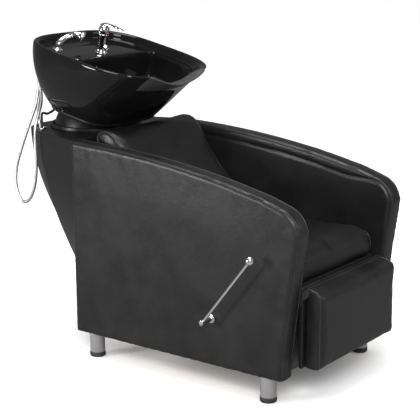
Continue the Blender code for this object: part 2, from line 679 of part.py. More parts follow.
def build_base(frame, finishes):
    """Base plate under the bowl and the ball-shaped cup that turns on the tilt pins."""
    turn = Matrix.Rotation(-BOWL_TILT, 3, "X")
    pivot = turn @ (Vector((0.0, *TILT_AXIS)) - Vector(BOWL_ORIGIN))
    plate = [np.column_stack([bowl_ring(BOWL_DEPTH, shrink), np.full(RING_POINTS, -depth)])
             for shrink, depth in ((0.010, BASE_PLATE), (0.005, BASE_PLATE - 0.003),
                                   (0.005, BOWL_DEPTH + 0.002),
                                   (0.007, BOWL_DEPTH + GAP))]
    base = add_piece("base_plate", ring_mesh("base_plate", plate), finishes["plastic"], frame)
    hole = turned_mesh("plate_hole", [(0.0, -0.25), (0.028, -0.25), (0.028, -0.20), (0.0, -0.20)], 24,
                       (*DRAIN_SPOT, 0.0))
    cut(base, cutter("plate_hole", hole, frame))

    top = -BASE_PLATE - GAP - pivot.z
    radius = BALL_SEAT_RADIUS
    profile = []
    for height in np.linspace(top, -0.052, 6):
        profile.append((math.sqrt(radius ** 2 - height ** 2), height))
    inside = radius - 0.007
    for height in np.linspace(-0.052, top - 0.008, 5):
        profile.append((math.sqrt(inside ** 2 - height ** 2), height))
    profile += [(0.098, top - 0.008), (0.098, top)]
    mesh = turned_mesh("tilt_cup", profile[::-1], 36, tuple(pivot), closed=True)
    cup = add_piece("tilt_cup", mesh, finishes["plastic"], frame, origin=tuple(pivot))
    for side in (-1, 1):
        low_x, high_x = sorted((side * (radius - 0.006), side * (radius + 0.024)))
        pin = turned_mesh("trunnion", [(0.0, low_x), (0.0070, low_x), (0.0070, high_x), (0.0, high_x)], 16,
                          tuple(pivot), axis="X")
        join_shapes(cup, cutter("trunnion_%d" % (side + 1), pin, frame))


def build_drain(frame, strainer_axis, finishes):
    """Drain flange, tail pipe and the strainer that lifts out."""
    x, v = DRAIN_SPOT
    floor = -BASIN_DEPTH
    flange = [(0.0195, floor - 0.052), (0.0225, floor - 0.052), (0.0225, floor + GAP), (0.034, floor + GAP),
              (0.033, floor + 0.0025), (0.026, floor + 0.0030), (0.0235, floor + 0.0015),
              (0.0195, floor - 0.006)]
    mesh = turned_mesh("drain_flange", flange, 24, (x, v, 0.0), closed=True)
    add_piece("drain_flange", mesh, finishes["chrome"], frame)
    end = floor - 0.052 - GAP
    tail = [(0.0165, end - 0.090), (0.0200, end - 0.090), (0.0200, end - 0.022), (0.0270, end - 0.020),
            (0.0270, end), (0.0195, end), (0.0165, end - 0.012)]
    mesh = turned_mesh("drain_tailpiece", tail, 20, (x, v, 0.0), closed=True)
    add_piece("drain_tailpiece", mesh, finishes["plastic"], frame)
    basket = [(0.0, floor - 0.020), (0.012, floor - 0.019), (0.0165, floor - 0.008),
              (0.0215, floor + 0.0022),
              (0.0228, floor + 0.0034), (0.019, floor + 0.0075), (0.008, floor + 0.0090),
              (0.005, floor + 0.0150),
              (0.0, floor + 0.0155)]
    mesh = turned_mesh("strainer", basket, 24, (x, v, 0.0))
    add_piece("strainer", mesh, finishes["steel"], strainer_axis)


def build_tap(frame, finishes):
    """Single-lever tap on the ledge: body with shank, nut, turning cap, lifting lever and marker."""
    x, v = TAP_SPOT
    level = LEDGE_LEVEL
    profile = [(0.0, level - 0.038), (0.0150, level - 0.038), (0.0150, level + GAP), (0.0240, level + GAP),
               (0.0240, level + 0.0045), (0.0200, level + 0.0075), (0.0180, level + 0.0130),
               (0.0174, level + 0.045),
               (0.0178, level + 0.060), (0.0186, TAP_BODY_TOP - 0.002), (0.0186, TAP_BODY_TOP),
               (0.0, TAP_BODY_TOP)]
    body = add_piece("tap_body", turned_mesh("tap_body", profile, 24, (x, v, 0.0)), finishes["chrome"],
                     frame)
    spout = turned_mesh("tap_outlet", [(0.0, 0.0), (0.0085, 0.0), (0.0085, 0.012), (0.0070, 0.0150),
                                       (0.0, 0.0155)], 20)
    join_shapes(body, cutter("tap_outlet", aimed(spout, (x, v - 0.010, 0.0), (0.0, -0.94, -0.34)), frame))

    hexagon = [(0.0155, 0.0), (0.0195, 0.0), (0.0195, 0.0095), (0.0155, 0.0095)]
    under = level - LEDGE_THICK - GAP - 0.0095
    nut = turned_mesh("tap_nut", hexagon, 24, (x, v, under), closed=True)
    add_piece("tap_nut", nut, finishes["brass"], frame)

    swivel = empty("tap_swivel_axis", (x, v, TAP_BODY_TOP), frame)
    radius = TAP_CAP_RADIUS
    centre = TAP_CAP_CENTRE - TAP_BODY_TOP
    dome = [(0.0, GAP), (radius - 0.0010, GAP), (radius, GAP + 0.0010)]
    for angle in np.radians(np.linspace(0.0, 90.0, 6)):
        dome.append((radius * math.cos(angle), centre + radius * math.sin(angle)))
    add_piece("tap_cap", turned_mesh("tap_cap", dome, 24), finishes["chrome"], swivel)
    disc = turned_mesh("tap_marker", [(0.0, 0.0), (0.0036, 0.0), (0.0036, 0.0008), (0.0028, 0.0014),
                                      (0.0, 0.0014)], 16)
    disc = aimed(disc, (0.0, -radius - GAP, 0.0062), (0.0, -1.0, 0.0))
    add_piece("tap_marker", disc, finishes["marker"], swivel)

    hinge = empty("tap_lift_axis", (0.0, 0.0, centre), swivel)
    rings = []
    for reach, top, thick, half in TAP_BLADE:
        low = top - thick
        edge = 0.28 * thick
        rings.append([(-half, -reach, low + edge), (-half + edge, -reach, low), (half - edge, -reach, low),
                      (half, -reach, low + edge), (half, -reach, top - edge),
                      (0.6 * half, -reach, top - 0.25 * edge),
                      (0.0, -reach, top), (-0.6 * half, -reach, top - 0.25 * edge),
                      (-half, -reach, top - edge)])
    blade = add_piece("tap_lever", ring_mesh("tap_lever", rings), finishes["chrome"], hinge)
    ball = [(0.0, -radius - 0.0005)]
    for angle in np.radians(np.linspace(-80.0, 80.0, 13)):
        ball.append(((radius + 0.0005) * math.cos(angle), (radius + 0.0005) * math.sin(angle)))
    ball.append((0.0, radius + 0.0005))
    cut(blade, cutter("lever_seat", turned_mesh("lever_seat", ball, 24), hinge))


def build_shower(frame, finishes):
    """Guide tube in the ledge and the hand shower that lifts out of it."""
    x, v = SPRAY_SPOT
    level = LEDGE_LEVEL
    tube = [(0.0093, level - 0.047), (0.0121, level - 0.047), (0.0121, level + GAP), (0.0190, level + GAP),
            (0.0180, level + 0.0030), (0.0125, level + 0.0050), (0.0100, level + 0.0048),
            (0.0093, level + 0.0040)]
    mesh = turned_mesh("spray_holder", tube, 24, (x, v, 0.0), closed=True)
    add_piece("spray_holder", mesh, finishes["chrome"], frame)

    slide = empty("shower_slide_axis", (x, v, level), frame)
    path = [(0.0, 0.0, -0.0450), (0.0, 0.0, -0.0297), (0.0, 0.0, -0.0290), (0.0, 0.0, 0.0072),
            (0.0005, 0.0, 0.0088),
            (0.0040, -0.0005, 0.0190), (0.0170, -0.0020, 0.0310), (0.0350, -0.0045, 0.0400),
            (0.0530, -0.0075, 0.0470),
            (0.0670, -0.0120, 0.0500), (0.0760, -0.0195, 0.0485)]
    radii = [0.0055, 0.0055, 0.0085, 0.0085, 0.0105, 0.0112, 0.0112, 0.0108, 0.0098, 0.0100, 0.0125]
    aim = Vector(SHOWER_AIM).normalized()
    for step, radius in ((0.007, 0.0180), (0.012, 0.0195), (0.017, 0.0192), (0.019, 0.0180)):
        path.append(tuple(Vector(path[10]) + aim * step))
        radii.append(radius)
    add_piece("hand_shower", swept_mesh("hand_shower", path, radii), finishes["chrome"], slide)
    face = [(0.0, 0.0), (0.0164, 0.0), (0.0164, 0.0012), (0.0156, 0.0018), (0.0, 0.0018)]
    mesh = aimed(turned_mesh("spray_face", face, 24), Vector(path[-1]) + aim * GAP, aim)
    add_piece("spray_face", mesh, finishes["rubber"], slide)


# ---- leg rest and its lever -------------------------------------------------------------
def relative(spot, axis):
    """Express a (y, z) spot from a joint's axis."""
    return (spot[0] - axis[0], spot[1] - axis[1])


def build_lever(chair, axis, finishes):
    """Bearings in the panels, and the shaft with its collar, hand lever and crank."""
    bore = SHAFT_RADIUS + GAP
    for side, name, depth in ((1, "left", 0.049), (-1, "right", PANEL_THICK)):
        face = side * (INNER_FACE - GAP)
        flange = side * (INNER_FACE - 0.0036)
        deep = side * (INNER_FACE + depth)
        profile = [(bore, flange), (0.018, flange), (0.018, face), (BORE_RADIUS - GAP, face),
                   (BORE_RADIUS - GAP, deep), (bore, deep)]
        mesh = turned_mesh("bearing_" + name, profile, 20, (0.0, *CRANK_AXIS), axis="X", closed=True)
        add_piece("bearing_" + name, mesh, finishes["plastic"], chair)

    rod_hole = LEVER_ROD_RADIUS + GAP
    end = LEVER_PLANE - 0.010
    profile = [(0.0, end), (SHAFT_RADIUS - 0.001, end), (SHAFT_RADIUS, end + 0.001),
               (SHAFT_RADIUS, 0.2885), (0.0, 0.2885)]
    shaft = add_piece("lever_shaft", turned_mesh("lever_shaft", profile, 20, axis="X"), finishes["chrome"],
                      axis)
    collar = tube_across("lever_collar", SHAFT_RADIUS + GAP, 0.0145, -HALF_WIDTH - 0.0065,
                         -HALF_WIDTH - GAP, (0.0, 0.0), 24)
    add_piece("lever_collar", collar, finishes["chrome"], axis)

    reach = Vector((0.0, *LEVER_REACH))
    length = reach.length
    overshoot = 0.014
    start = Vector((LEVER_PLANE, 0.0, 0.0)) - reach.normalized() * overshoot
    end = overshoot + length - 0.002
    rod_profile = [(0.0, 0.0), (LEVER_ROD_RADIUS - 0.001, 0.0), (LEVER_ROD_RADIUS, 0.001),
                   (LEVER_ROD_RADIUS, end), (0.0, end)]
    rod = aimed(turned_mesh("lever_rod", rod_profile, 16), start, reach)
    add_piece("lever_rod", rod, finishes["chrome"], axis)
    hole = [(0.0, -0.01), (rod_hole, -0.01), (rod_hole, end + GAP), (0.0, end + GAP)]
    drill = cutter("rod_hole", aimed(turned_mesh("rod_hole", hole, 16), start, reach), axis)
    cut(shaft, drill)
    knob = []
    for angle in np.radians(np.linspace(-90.0, 90.0, 10)):
        knob.append((BALL_RADIUS * math.cos(angle), BALL_RADIUS * math.sin(angle)))
    middle = Vector((LEVER_PLANE, 0.0, 0.0)) + reach
    ball = add_piece("lever_ball", aimed(turned_mesh("lever_ball", knob, 16), middle, reach),
                     finishes["chrome"], axis)
    cut(ball, drill)

    crank = add_piece("crank_arm", link_plate("crank_arm", (0.0, 0.0), 0.014, CRANK_ARM, 0.010, -0.0085,
                                              -0.0025),
                      finishes["steel"], axis, smooth=False)
    holes = [cylinder_across("crank_hub_hole", bore, -0.02, 0.01, (0.0, 0.0)),
             cylinder_across("crank_pin_hole", LINK_PIN_RADIUS + 0.0002, -0.02, 0.01, CRANK_ARM, 16)]
    cut(crank, *(cutter(mesh.name, mesh, axis) for mesh in holes))


def build_link(axis, finishes):
    """Push bar between the crank and the leg rest, with its two pins."""
    far = relative(LEG_REST_AXIS, CRANK_AXIS)
    bar = add_piece("link_bar", link_plate("link_bar", (0.0, 0.0), 0.009, far, 0.009, -0.0020, 0.0040),
                    finishes["steel"], axis, smooth=False)
    pins = [cylinder_across("crank_end_pin", LINK_PIN_RADIUS, -0.0100, 0.0010, (0.0, 0.0), 16),
            cylinder_across("rest_end_pin", LINK_PIN_RADIUS, -0.0100, 0.0125, far, 16)]
    join_shapes(bar, *(cutter(mesh.name, mesh, axis) for mesh in pins))


def build_leg_rest(chair, axis, finishes):
    """Padded leg rest on a steel frame that hangs between two pivot plates."""
    def local(outline):
        return [relative(spot, LEG_REST_AXIS) for spot in outline]

    half = LEG_REST_HALF_WIDTH
    rear = LEG_REST_REAR
    front = LEG_REST_FRONT
    board_face = rear - LEG_REST_BOARD
    low = LEG_REST_LOW
    board = slab_mesh("leg_rest_board",
                      local([(board_face, low + 0.006), (rear, low + 0.006), (rear, 0.358),
                                               (board_face, 0.358)]), -half + 0.002, half - 0.002)
    add_piece("leg_rest_board", board, finishes["timber"], axis, smooth=False)
    skin = board_face - GAP
    outline = [(skin, low), (front + 0.010, low + 0.001), (front + 0.002, low + 0.006),
               (front, low + 0.014),
               (front, LEG_REST_HIGH - 0.032), (front + 0.004, LEG_REST_HIGH - 0.020),
               (front + 0.014, LEG_REST_HIGH - 0.0115), (skin - 0.006, LEG_REST_HIGH),
               (skin, LEG_REST_HIGH - 0.002)]
    pad = slab_mesh("leg_rest_pad", local(outline), -half, half, 0.009)
    add_piece("leg_rest_pad", pad, finishes["leather"], axis)

    strap_rear = rear + 0.0033
    strap = box_mesh("leg_rest_frame", (-half - 0.0033, rear + GAP - LEG_REST_AXIS[0],
                                        0.296 - LEG_REST_AXIS[1]),
                     (half + 0.0033, strap_rear - LEG_REST_AXIS[0], 0.340 - LEG_REST_AXIS[1]))
    frame = add_piece("leg_rest_frame", strap, finishes["steel"], axis, smooth=False)
    plate = local([(strap_rear, 0.296), (strap_rear, 0.340), (-0.030, 0.360), (-0.046, 0.360),
                   (-0.052, 0.352),
                   (-0.052, 0.340), (-0.040, 0.332), (rear, 0.296)])
    hub = relative((LEG_REST_AXIS[0] + CRANK_ARM[0], LEG_REST_AXIS[1] + CRANK_ARM[1]), LEG_REST_AXIS)
    root = relative((strap_rear - 0.0012, 0.310), LEG_REST_AXIS)
    shapes = []
    for side, name in ((1, "left"), (-1, "right")):
        low_x, high_x = sorted((side * (half + GAP), side * (half + 0.0033)))
        shapes.append(slab_mesh("hinge_plate_" + name, plate, low_x, high_x))
    for name, low_x in (("clevis_right", -0.0085), ("clevis_left", 0.0045)):
        lug = link_plate(name, root, 0.0012, hub, 0.010, low_x, low_x + 0.006)
        shapes.append(lug)
    join_shapes(frame, *(cutter(mesh.name, mesh, axis) for mesh in shapes))
    holes = [cylinder_across("hinge_hole", PIVOT_PIN_RADIUS + GAP, -0.30, 0.30, (0.0, 0.0), 16),
             cylinder_across("clevis_hole", LINK_PIN_RADIUS + 0.0002, -0.02, 0.02, hub, 16)]
    cut(frame, *(cutter(mesh.name, mesh, axis) for mesh in holes))

    outline = [(0.012, 0.300), (0.012, 0.342), (-0.002, 0.342), (-0.008, 0.356), (-0.046, 0.357),
               (-0.052, 0.350),
               (-0.050, 0.338), (-0.030, 0.322), (-0.020, 0.300)]
    for side, name in ((1, "left"), (-1, "right")):
        low_x, high_x = sorted((side * (half + 0.0037), side * (INNER_FACE - GAP)))
        plate = add_piece("pivot_plate_" + name, slab_mesh("pivot_plate_" + name, outline, low_x, high_x),
                          finishes["steel"], chair, smooth=False)
        low_x, high_x = sorted((side * (half + 0.0004), side * (half + 0.0050)))
        pin = cylinder_across("pivot_pin_" + name, PIVOT_PIN_RADIUS, low_x, high_x, LEG_REST_AXIS, 16)
        join_shapes(plate, cutter("pivot_pin_" + name, pin, chair))


# ---- hoses ---------------------------------------------------------------------------
def from_bowl(spot):
    """Chair-frame position of a point given in the bowl's frame."""
    x, v, w = spot
    lean = math.sin(BOWL_TILT)
    upright = math.cos(BOWL_TILT)
    return (x, BOWL_ORIGIN[1] + v * upright - w * lean, BOWL_ORIGIN[2] + v * lean + w * upright)


def build_hoses(parent, finishes):
    """Shower hose with its hanging loop and the two supply hoses through the grommet."""
    for name, size, finish, start, outside, end in HOSES:
        points = [from_bowl(spot) for spot in start] + outside + [from_bowl(spot) for spot in end]
        hose(name, points, size, finishes[finish], parent)


# ---- assembly ------------------------------------------------------------------------
def make_finishes():
    """All the unit's finishes."""
    return {
        "leather": finish_material("black_leatherette", (0.022, 0.022, 0.023), 0.42),
        "timber": finish_material("frame_timber", (0.55, 0.40, 0.24), 0.70),
        "shell": finish_material("shell_plastic", (0.030, 0.030, 0.032), 0.45),
        "plastic": finish_material("black_plastic", (0.020, 0.020, 0.021), 0.50),
        "ceramic": finish_material("black_glaze", (0.012, 0.012, 0.013), 0.08),
        "silicone": finish_material("neck_silicone", (0.018, 0.018, 0.019), 0.30),
        "rubber": finish_material("black_rubber", (0.025, 0.025, 0.025), 0.60),
        "chrome": finish_material("polished_chrome", (0.80, 0.80, 0.82), 0.07, 1.0),
        "hose_chrome": finish_material("chrome_hose", (0.72, 0.72, 0.74), 0.22, 1.0),
        "braid": finish_material("steel_braid", (0.62, 0.62, 0.64), 0.38, 1.0),
        "satin_chrome": finish_material("satin_chrome", (0.60, 0.60, 0.62), 0.28, 1.0),
        "steel": finish_material("zinc_steel", (0.52, 0.53, 0.55), 0.40, 1.0),
        "brass": finish_material("raw_brass", (0.70, 0.53, 0.25), 0.35, 1.0),
        "marker": finish_material("marker_red", (0.60, 0.03, 0.03), 0.30),
    }


def build_unit():
    """Put the whole backwash unit together."""
    clear_scene()
    finishes = make_finishes()
    chair = empty("unit_origin", UNIT_SHIFT)
    for side in (1, -1):
        build_side(side, chair, finishes)
    build_seat(chair, finishes)
    build_cabinet(chair, finishes)

    tilt = empty("bowl_tilt_axis", (0.0, *TILT_AXIS), chair)
    frame = empty("bowl_frame", Vector(BOWL_ORIGIN) - Vector((0.0, *TILT_AXIS)), tilt,
                  (BOWL_TILT, 0.0, 0.0))
    build_bowl(frame, finishes)
    build_base(frame, finishes)
    build_drain(frame, empty("strainer_axis", (0.0, 0.0, 0.0), frame), finishes)
    build_tap(frame, finishes)
    build_shower(frame, finishes)
    build_hoses(empty("hose_frame", (0.0, -TILT_AXIS[0], -TILT_AXIS[1]), tilt), finishes)

    lever = empty("lever_axis", (0.0, *CRANK_AXIS), chair)
    build_lever(chair, lever, finishes)
    build_link(empty("link_axis", (0.0, *CRANK_ARM), lever), finishes)
    build_leg_rest(chair, empty("leg_rest_axis", (0.0, *LEG_REST_AXIS), chair), finishes)


build_unit()
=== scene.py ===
"""Shampoo backwash unit: upholstery, glazed bowl, chrome fittings and hoses around the CAD frame.

Sizes are in metres.  Shapes are worked out in the chair's own frame, where Y = 0 is the lower
front corner of the side panels, the sitter faces -Y and +X is the sitter's left hand.  UNIT_SHIFT
carries that frame onto the shared one.
"""

import logging
import math
from dataclasses import dataclass, field
from enum import Enum
from typing import Iterable, Optional, Sequence

import bmesh
import bpy
import numpy as np
from mathutils import Matrix


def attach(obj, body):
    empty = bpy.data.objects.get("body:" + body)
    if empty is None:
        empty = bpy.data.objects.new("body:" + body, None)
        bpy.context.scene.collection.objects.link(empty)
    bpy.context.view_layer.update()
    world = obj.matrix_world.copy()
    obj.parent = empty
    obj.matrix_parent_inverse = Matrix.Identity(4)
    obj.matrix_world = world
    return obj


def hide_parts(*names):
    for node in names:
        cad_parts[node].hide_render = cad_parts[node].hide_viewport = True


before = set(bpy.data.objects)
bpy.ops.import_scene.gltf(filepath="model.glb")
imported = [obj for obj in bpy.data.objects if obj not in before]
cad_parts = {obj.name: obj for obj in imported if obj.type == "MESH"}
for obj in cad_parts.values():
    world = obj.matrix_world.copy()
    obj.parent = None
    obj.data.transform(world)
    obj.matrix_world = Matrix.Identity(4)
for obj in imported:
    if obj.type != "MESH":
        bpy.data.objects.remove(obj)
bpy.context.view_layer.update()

LOG = logging.getLogger("backwash_unit")
UNIT_SHIFT = np.array((0.0293, -0.5444, 0.0))


# ---- names ---------------------------------------------------------------------------
class Body(str, Enum):
    """Moving bodies of the unit."""

    CHAIR = "chair"
    BOWL = "bowl_unit"
    STRAINER = "drain_strainer"
    TAP_HEAD = "tap_head"
    TAP_HANDLE = "tap_handle"
    SHOWER = "shower_handset"
    LEVER = "hand_lever"
    LINK = "push_link"
    LEG_REST = "leg_rest"


class Side(Enum):
    """The two sides of the chair, as the sign of X."""

    LEFT = 1
    RIGHT = -1

    @property
    def label(self) -> str:
        """Name of the side in node and piece names."""
        return self.name.lower()


class Grain(Enum):
    """What the fine relief of a finish looks like."""

    HIDE = "hide"
    PEEL = "peel"
    STIPPLE = "stipple"
    BRUSHED = "brushed"
    TIMBER = "timber"
    BRAID = "braid"


# ---- finishes ------------------------------------------------------------------------
@dataclass(frozen=True)
class Finish:
    """One procedural surface finish.

    Attributes:
        name: Material name.
        slot: Slot that the finish belongs to; not used.
        colour: Main linear colour.
        accent: Second linear colour, mixed in by the tone pattern.
        roughness: Lowest and highest roughness.
        grain: Kind of fine relief.
        pitch: Size of one grain in metres.
        relief: Height of the grain in metres.
        metallic: 0 or 1.
        coat: Weight of a clear coat.
        sheen: Weight of the sheen.
        specular: Specular level.
        tone_pitch: Size of the colour and gloss patches in metres.
    """

    name: str
    slot: str
    colour: tuple[float, float, float]
    accent: tuple[float, float, float]
    roughness: tuple[float, float]
    grain: Grain
    pitch: float
    relief: float
    metallic: float = 0.0
    coat: float = 0.0
    sheen: float = 0.0
    specular: float = 0.5
    tone_pitch: float = 0.06

    def material(self) -> bpy.types.Material:
        """Build the finish once and hand out the same material afterwards.

        Returns:
            The node material.
        """
        found = bpy.data.materials.get(self.name)
        if found is not None:
            return found
        made = bpy.data.materials.new(self.name)
        made.use_nodes = True
        made.diffuse_color = (*self.colour, 1.0)
        tree = made.node_tree
        shader = tree.nodes["Principled BSDF"]
        shader.inputs["Metallic"].default_value = self.metallic
        shader.inputs["Coat Weight"].default_value = self.coat
        shader.inputs["Coat Roughness"].default_value = 0.03
        shader.inputs["Sheen Weight"].default_value = self.sheen
        shader.inputs["Sheen Roughness"].default_value = 0.45
        shader.inputs["Specular IOR Level"].default_value = self.specular
        where = tree.nodes.new("ShaderNodeTexCoord").outputs["Object"]
        patches = self._noise(tree, where, (1.0, 1.0, 1.0), 1.0 / self.tone_pitch, 4.0, 0.55)
        self._spread(tree, patches, self.roughness, shader.inputs["Roughness"])
        self._tint(tree, patches, shader.inputs["Base Color"])
        height = self._relief_height(tree, where)
        bump = tree.nodes.new("ShaderNodeBump")
        bump.inputs["Strength"].default_value = 1.0
        bump.inputs["Distance"].default_value = self.relief
        tree.links.new(height, bump.inputs["Height"])
        tree.links.new(bump.outputs["Normal"], shader.inputs["Normal"])
        if self.coat > 0.0:
            tree.links.new(bump.outputs["Normal"], shader.inputs["Coat Normal"])
        return made

    @staticmethod
    def _noise(tree: bpy.types.NodeTree, where: bpy.types.NodeSocket, stretch: tuple[float, float, float],
               scale: float, detail: float, rough: float) -> bpy.types.NodeSocket:
        """Read soft noise over a stretched position.

        Args:
            tree: Node tree to add to.
            where: Position socket.
            stretch: Scale of the position on each axis.
            scale: Patches in a metre.
            detail: Octaves of the noise.
            rough: Share that each octave keeps.

        Returns:
            The noise socket, from 0 to 1.
        """
        mapping = tree.nodes.new("ShaderNodeMapping")
        mapping.inputs["Scale"].default_value = stretch
        tree.links.new(where, mapping.inputs["Vector"])
        noise = tree.nodes.new("ShaderNodeTexNoise")
        noise.inputs["Scale"].default_value = scale
        noise.inputs["Detail"].default_value = detail
        noise.inputs["Roughness"].default_value = rough
        tree.links.new(mapping.outputs["Vector"], noise.inputs["Vector"])
        return noise.outputs["Fac"]

    @staticmethod
    def _spread(tree: bpy.types.NodeTree, value: bpy.types.NodeSocket, span: tuple[float, float],
                target: bpy.types.NodeSocket) -> None:
        """Spread a 0.3 to 0.7 pattern over a span and feed it to a socket.

        Args:
            tree: Node tree to add to.
            value: Pattern socket.
            span: Lowest and highest outcome.
            target: Socket that takes the outcome.
        """
        ramp = tree.nodes.new("ShaderNodeMapRange")
        ramp.inputs["From Min"].default_value = 0.3
        ramp.inputs["From Max"].default_value = 0.7
        ramp.inputs["To Min"].default_value = span[0]
        ramp.inputs["To Max"].default_value = span[1]
        tree.links.new(value, ramp.inputs["Value"])
        tree.links.new(ramp.outputs["Result"], target)

    def _tint(self, tree: bpy.types.NodeTree, patches: bpy.types.NodeSocket,
              target: bpy.types.NodeSocket) -> None:
        """Mix the two colours by the tone pattern.

        Args:
            tree: Node tree to add to.
            patches: Tone pattern.
            target: Colour socket.
        """
        ramp = tree.nodes.new("ShaderNodeValToRGB")
        ramp.color_ramp.elements[0].position = 0.32
        ramp.color_ramp.elements[1].position = 0.68
        ramp.color_ramp.elements[0].color = (*self.colour, 1.0)
        ramp.color_ramp.elements[1].color = (*self.accent, 1.0)
        tree.links.new(patches, ramp.inputs["Fac"])
        tree.links.new(ramp.outputs["Color"], target)

    def _relief_height(self, tree: bpy.types.NodeTree, where: bpy.types.NodeSocket) -> bpy.types.NodeSocket:
        """Work out the height pattern of the grain.

        Args:
            tree: Node tree to add to.
            where: Position socket.

        Returns:
            Height socket.
        """
        scale = 1.0 / self.pitch
        if self.grain is Grain.HIDE:
            cells = tree.nodes.new("ShaderNodeTexVoronoi")
            cells.feature = "DISTANCE_TO_EDGE"
            cells.inputs["Scale"].default_value = scale
            tree.links.new(where, cells.inputs["Vector"])
            soft = self._noise(tree, where, (1.0, 1.0, 1.0), 30.0, 3.0, 0.5)
            mixed = tree.nodes.new("ShaderNodeMath")
            mixed.operation = "MULTIPLY_ADD"
            mixed.inputs[1].default_value = 3.2
            tree.links.new(soft, mixed.inputs[0])
            tree.links.new(cells.outputs["Distance"], mixed.inputs[2])
            return mixed.outputs["Value"]
        if self.grain is Grain.BRUSHED:
            return self._noise(tree, where, (1.0, 1.0, 0.04), scale, 3.0, 0.6)
        if self.grain is Grain.TIMBER:
            return self._noise(tree, where, (0.06, 1.0, 1.0), scale, 5.0, 0.65)
        if self.grain is Grain.BRAID:
            path = tree.nodes.new("ShaderNodeTexCoord").outputs["UV"]
            checks = []
            for slant in (1.0, -1.0):
                mapping = tree.nodes.new("ShaderNodeMapping")
                mapping.inputs["Rotation"].default_value = (0.0, 0.0, slant * math.radians(45.0))
                tree.links.new(path, mapping.inputs["Vector"])
                wave = tree.nodes.new("ShaderNodeTexWave")
                wave.inputs["Scale"].default_value = scale
                tree.links.new(mapping.outputs["Vector"], wave.inputs["Vector"])
                checks.append(wave.outputs["Fac"])
            top = tree.nodes.new("ShaderNodeMath")
            top.operation = "MAXIMUM"
            tree.links.new(checks[0], top.inputs[0])
            tree.links.new(checks[1], top.inputs[1])
            return top.outputs["Value"]
        detail = 2.0 if self.grain is Grain.PEEL else 4.0
        return self._noise(tree, where, (1.0, 1.0, 1.0), scale, detail, 0.5)


LEATHER = Finish("black_leatherette", "leather", (0.0060, 0.0060, 0.0063), (0.0100, 0.0100, 0.0104),
                 (0.30, 0.40), Grain.HIDE, 0.0016, 0.00022, specular=0.38, tone_pitch=0.11)
PIPING = Finish("black_piping", "leather", (0.0120, 0.0120, 0.0125), (0.0190, 0.0190, 0.0195),
                (0.34, 0.44), Grain.HIDE, 0.0012, 0.00012, specular=0.6, tone_pitch=0.05)
# Painted shade: black cloth sheet for the shadow in the opening behind the leg rest.
SHADE_CLOTH = Finish("painted_shade_cloth", "leather", (0.020, 0.020, 0.021), (0.032, 0.032, 0.033),
                (0.86, 0.95), Grain.STIPPLE, 0.0012, 0.00020)
GLAZE = Finish("black_glaze", "glaze", (0.0040, 0.0040, 0.0044), (0.0060, 0.0060, 0.0064),
               (0.035, 0.060), Grain.PEEL, 0.020, 0.00002, specular=0.24, tone_pitch=0.09)
SHELL = Finish("satin_shell", "shell_plastic", (0.0060, 0.0060, 0.0064), (0.0085, 0.0085, 0.0090),
               (0.32, 0.40), Grain.STIPPLE, 0.0009, 0.00003, specular=0.24, tone_pitch=0.15)
MOULDED = Finish("moulded_plastic", "black_plastic", (0.0070, 0.0070, 0.0074), (0.0105, 0.0105, 0.0110),
                 (0.34, 0.44), Grain.STIPPLE, 0.0008, 0.00004, specular=0.25)
SILICONE = Finish("neck_silicone", "silicone", (0.0260, 0.0265, 0.0270), (0.0340, 0.0345, 0.0350),
                  (0.40, 0.50), Grain.PEEL, 0.0050, 0.00004, specular=0.55)
RUBBER = Finish("black_rubber", "rubber", (0.0150, 0.0150, 0.0150), (0.0230, 0.0230, 0.0230),
                (0.50, 0.64), Grain.STIPPLE, 0.0010, 0.00005)
CHROME = Finish("polished_chrome", "chrome", (0.80, 0.80, 0.82), (0.86, 0.86, 0.87),
                (0.045, 0.085), Grain.PEEL, 0.012, 0.00001, metallic=1.0, tone_pitch=0.02)
HOSE_CHROME = Finish("hose_chrome", "hose_chrome", (0.50, 0.50, 0.52), (0.60, 0.60, 0.61),
                     (0.12, 0.20), Grain.PEEL, 0.0030, 0.00001, metallic=1.0, tone_pitch=0.03)
WIRE_BRAID = Finish("steel_braid", "steel_braid", (0.50, 0.50, 0.52), (0.64, 0.64, 0.65),
                    (0.28, 0.40), Grain.BRAID, 0.0060, 0.00030, metallic=1.0, tone_pitch=0.02)
SATIN = Finish("satin_chrome", "satin_chrome", (0.58, 0.58, 0.59), (0.68, 0.68, 0.69),
               (0.20, 0.30), Grain.BRUSHED, 0.0006, 0.00002, metallic=1.0, tone_pitch=0.04)
ZINC = Finish("zinc_steel", "zinc_steel", (0.42, 0.43, 0.45), (0.55, 0.56, 0.58),
              (0.32, 0.46), Grain.STIPPLE, 0.0020, 0.00003, metallic=1.0, tone_pitch=0.015)
BRASS = Finish("raw_brass", "raw_brass", (0.62, 0.44, 0.19), (0.72, 0.54, 0.26),
               (0.28, 0.42), Grain.BRUSHED, 0.0010, 0.00002, metallic=1.0, tone_pitch=0.01)
ENAMEL = Finish("red_marker", "marker", (0.52, 0.012, 0.012), (0.62, 0.020, 0.020),
                (0.12, 0.20), Grain.PEEL, 0.0040, 0.00001, coat=0.5, tone_pitch=0.01)
# Painted shade: the boards and rails that show in the front gap are coloured black for the shadow that falls
# behind the leg rest.
SHADED_BOARD = Finish("painted_shade_board", "timber", (0.0100, 0.0095, 0.0090), (0.0180, 0.0170, 0.0160),
                 (0.60, 0.75), Grain.TIMBER, 0.0040, 0.00010, specular=0.3, tone_pitch=0.03)
# Painted shade: the leg-rest frame and the pivot plates are coloured black for the shadow in the gap where
# they sit.
SHADED_STEEL = Finish("painted_shade_steel", "zinc_steel", (0.0140, 0.0140, 0.0145), (0.0220, 0.0220, 0.0225),
                (0.38, 0.50), Grain.STIPPLE, 0.0015, 0.00004, tone_pitch=0.02)
TIMBER = Finish("frame_timber", "timber", (0.42, 0.27, 0.14), (0.60, 0.42, 0.24),
                (0.58, 0.74), Grain.TIMBER, 0.0040, 0.00012, tone_pitch=0.03)


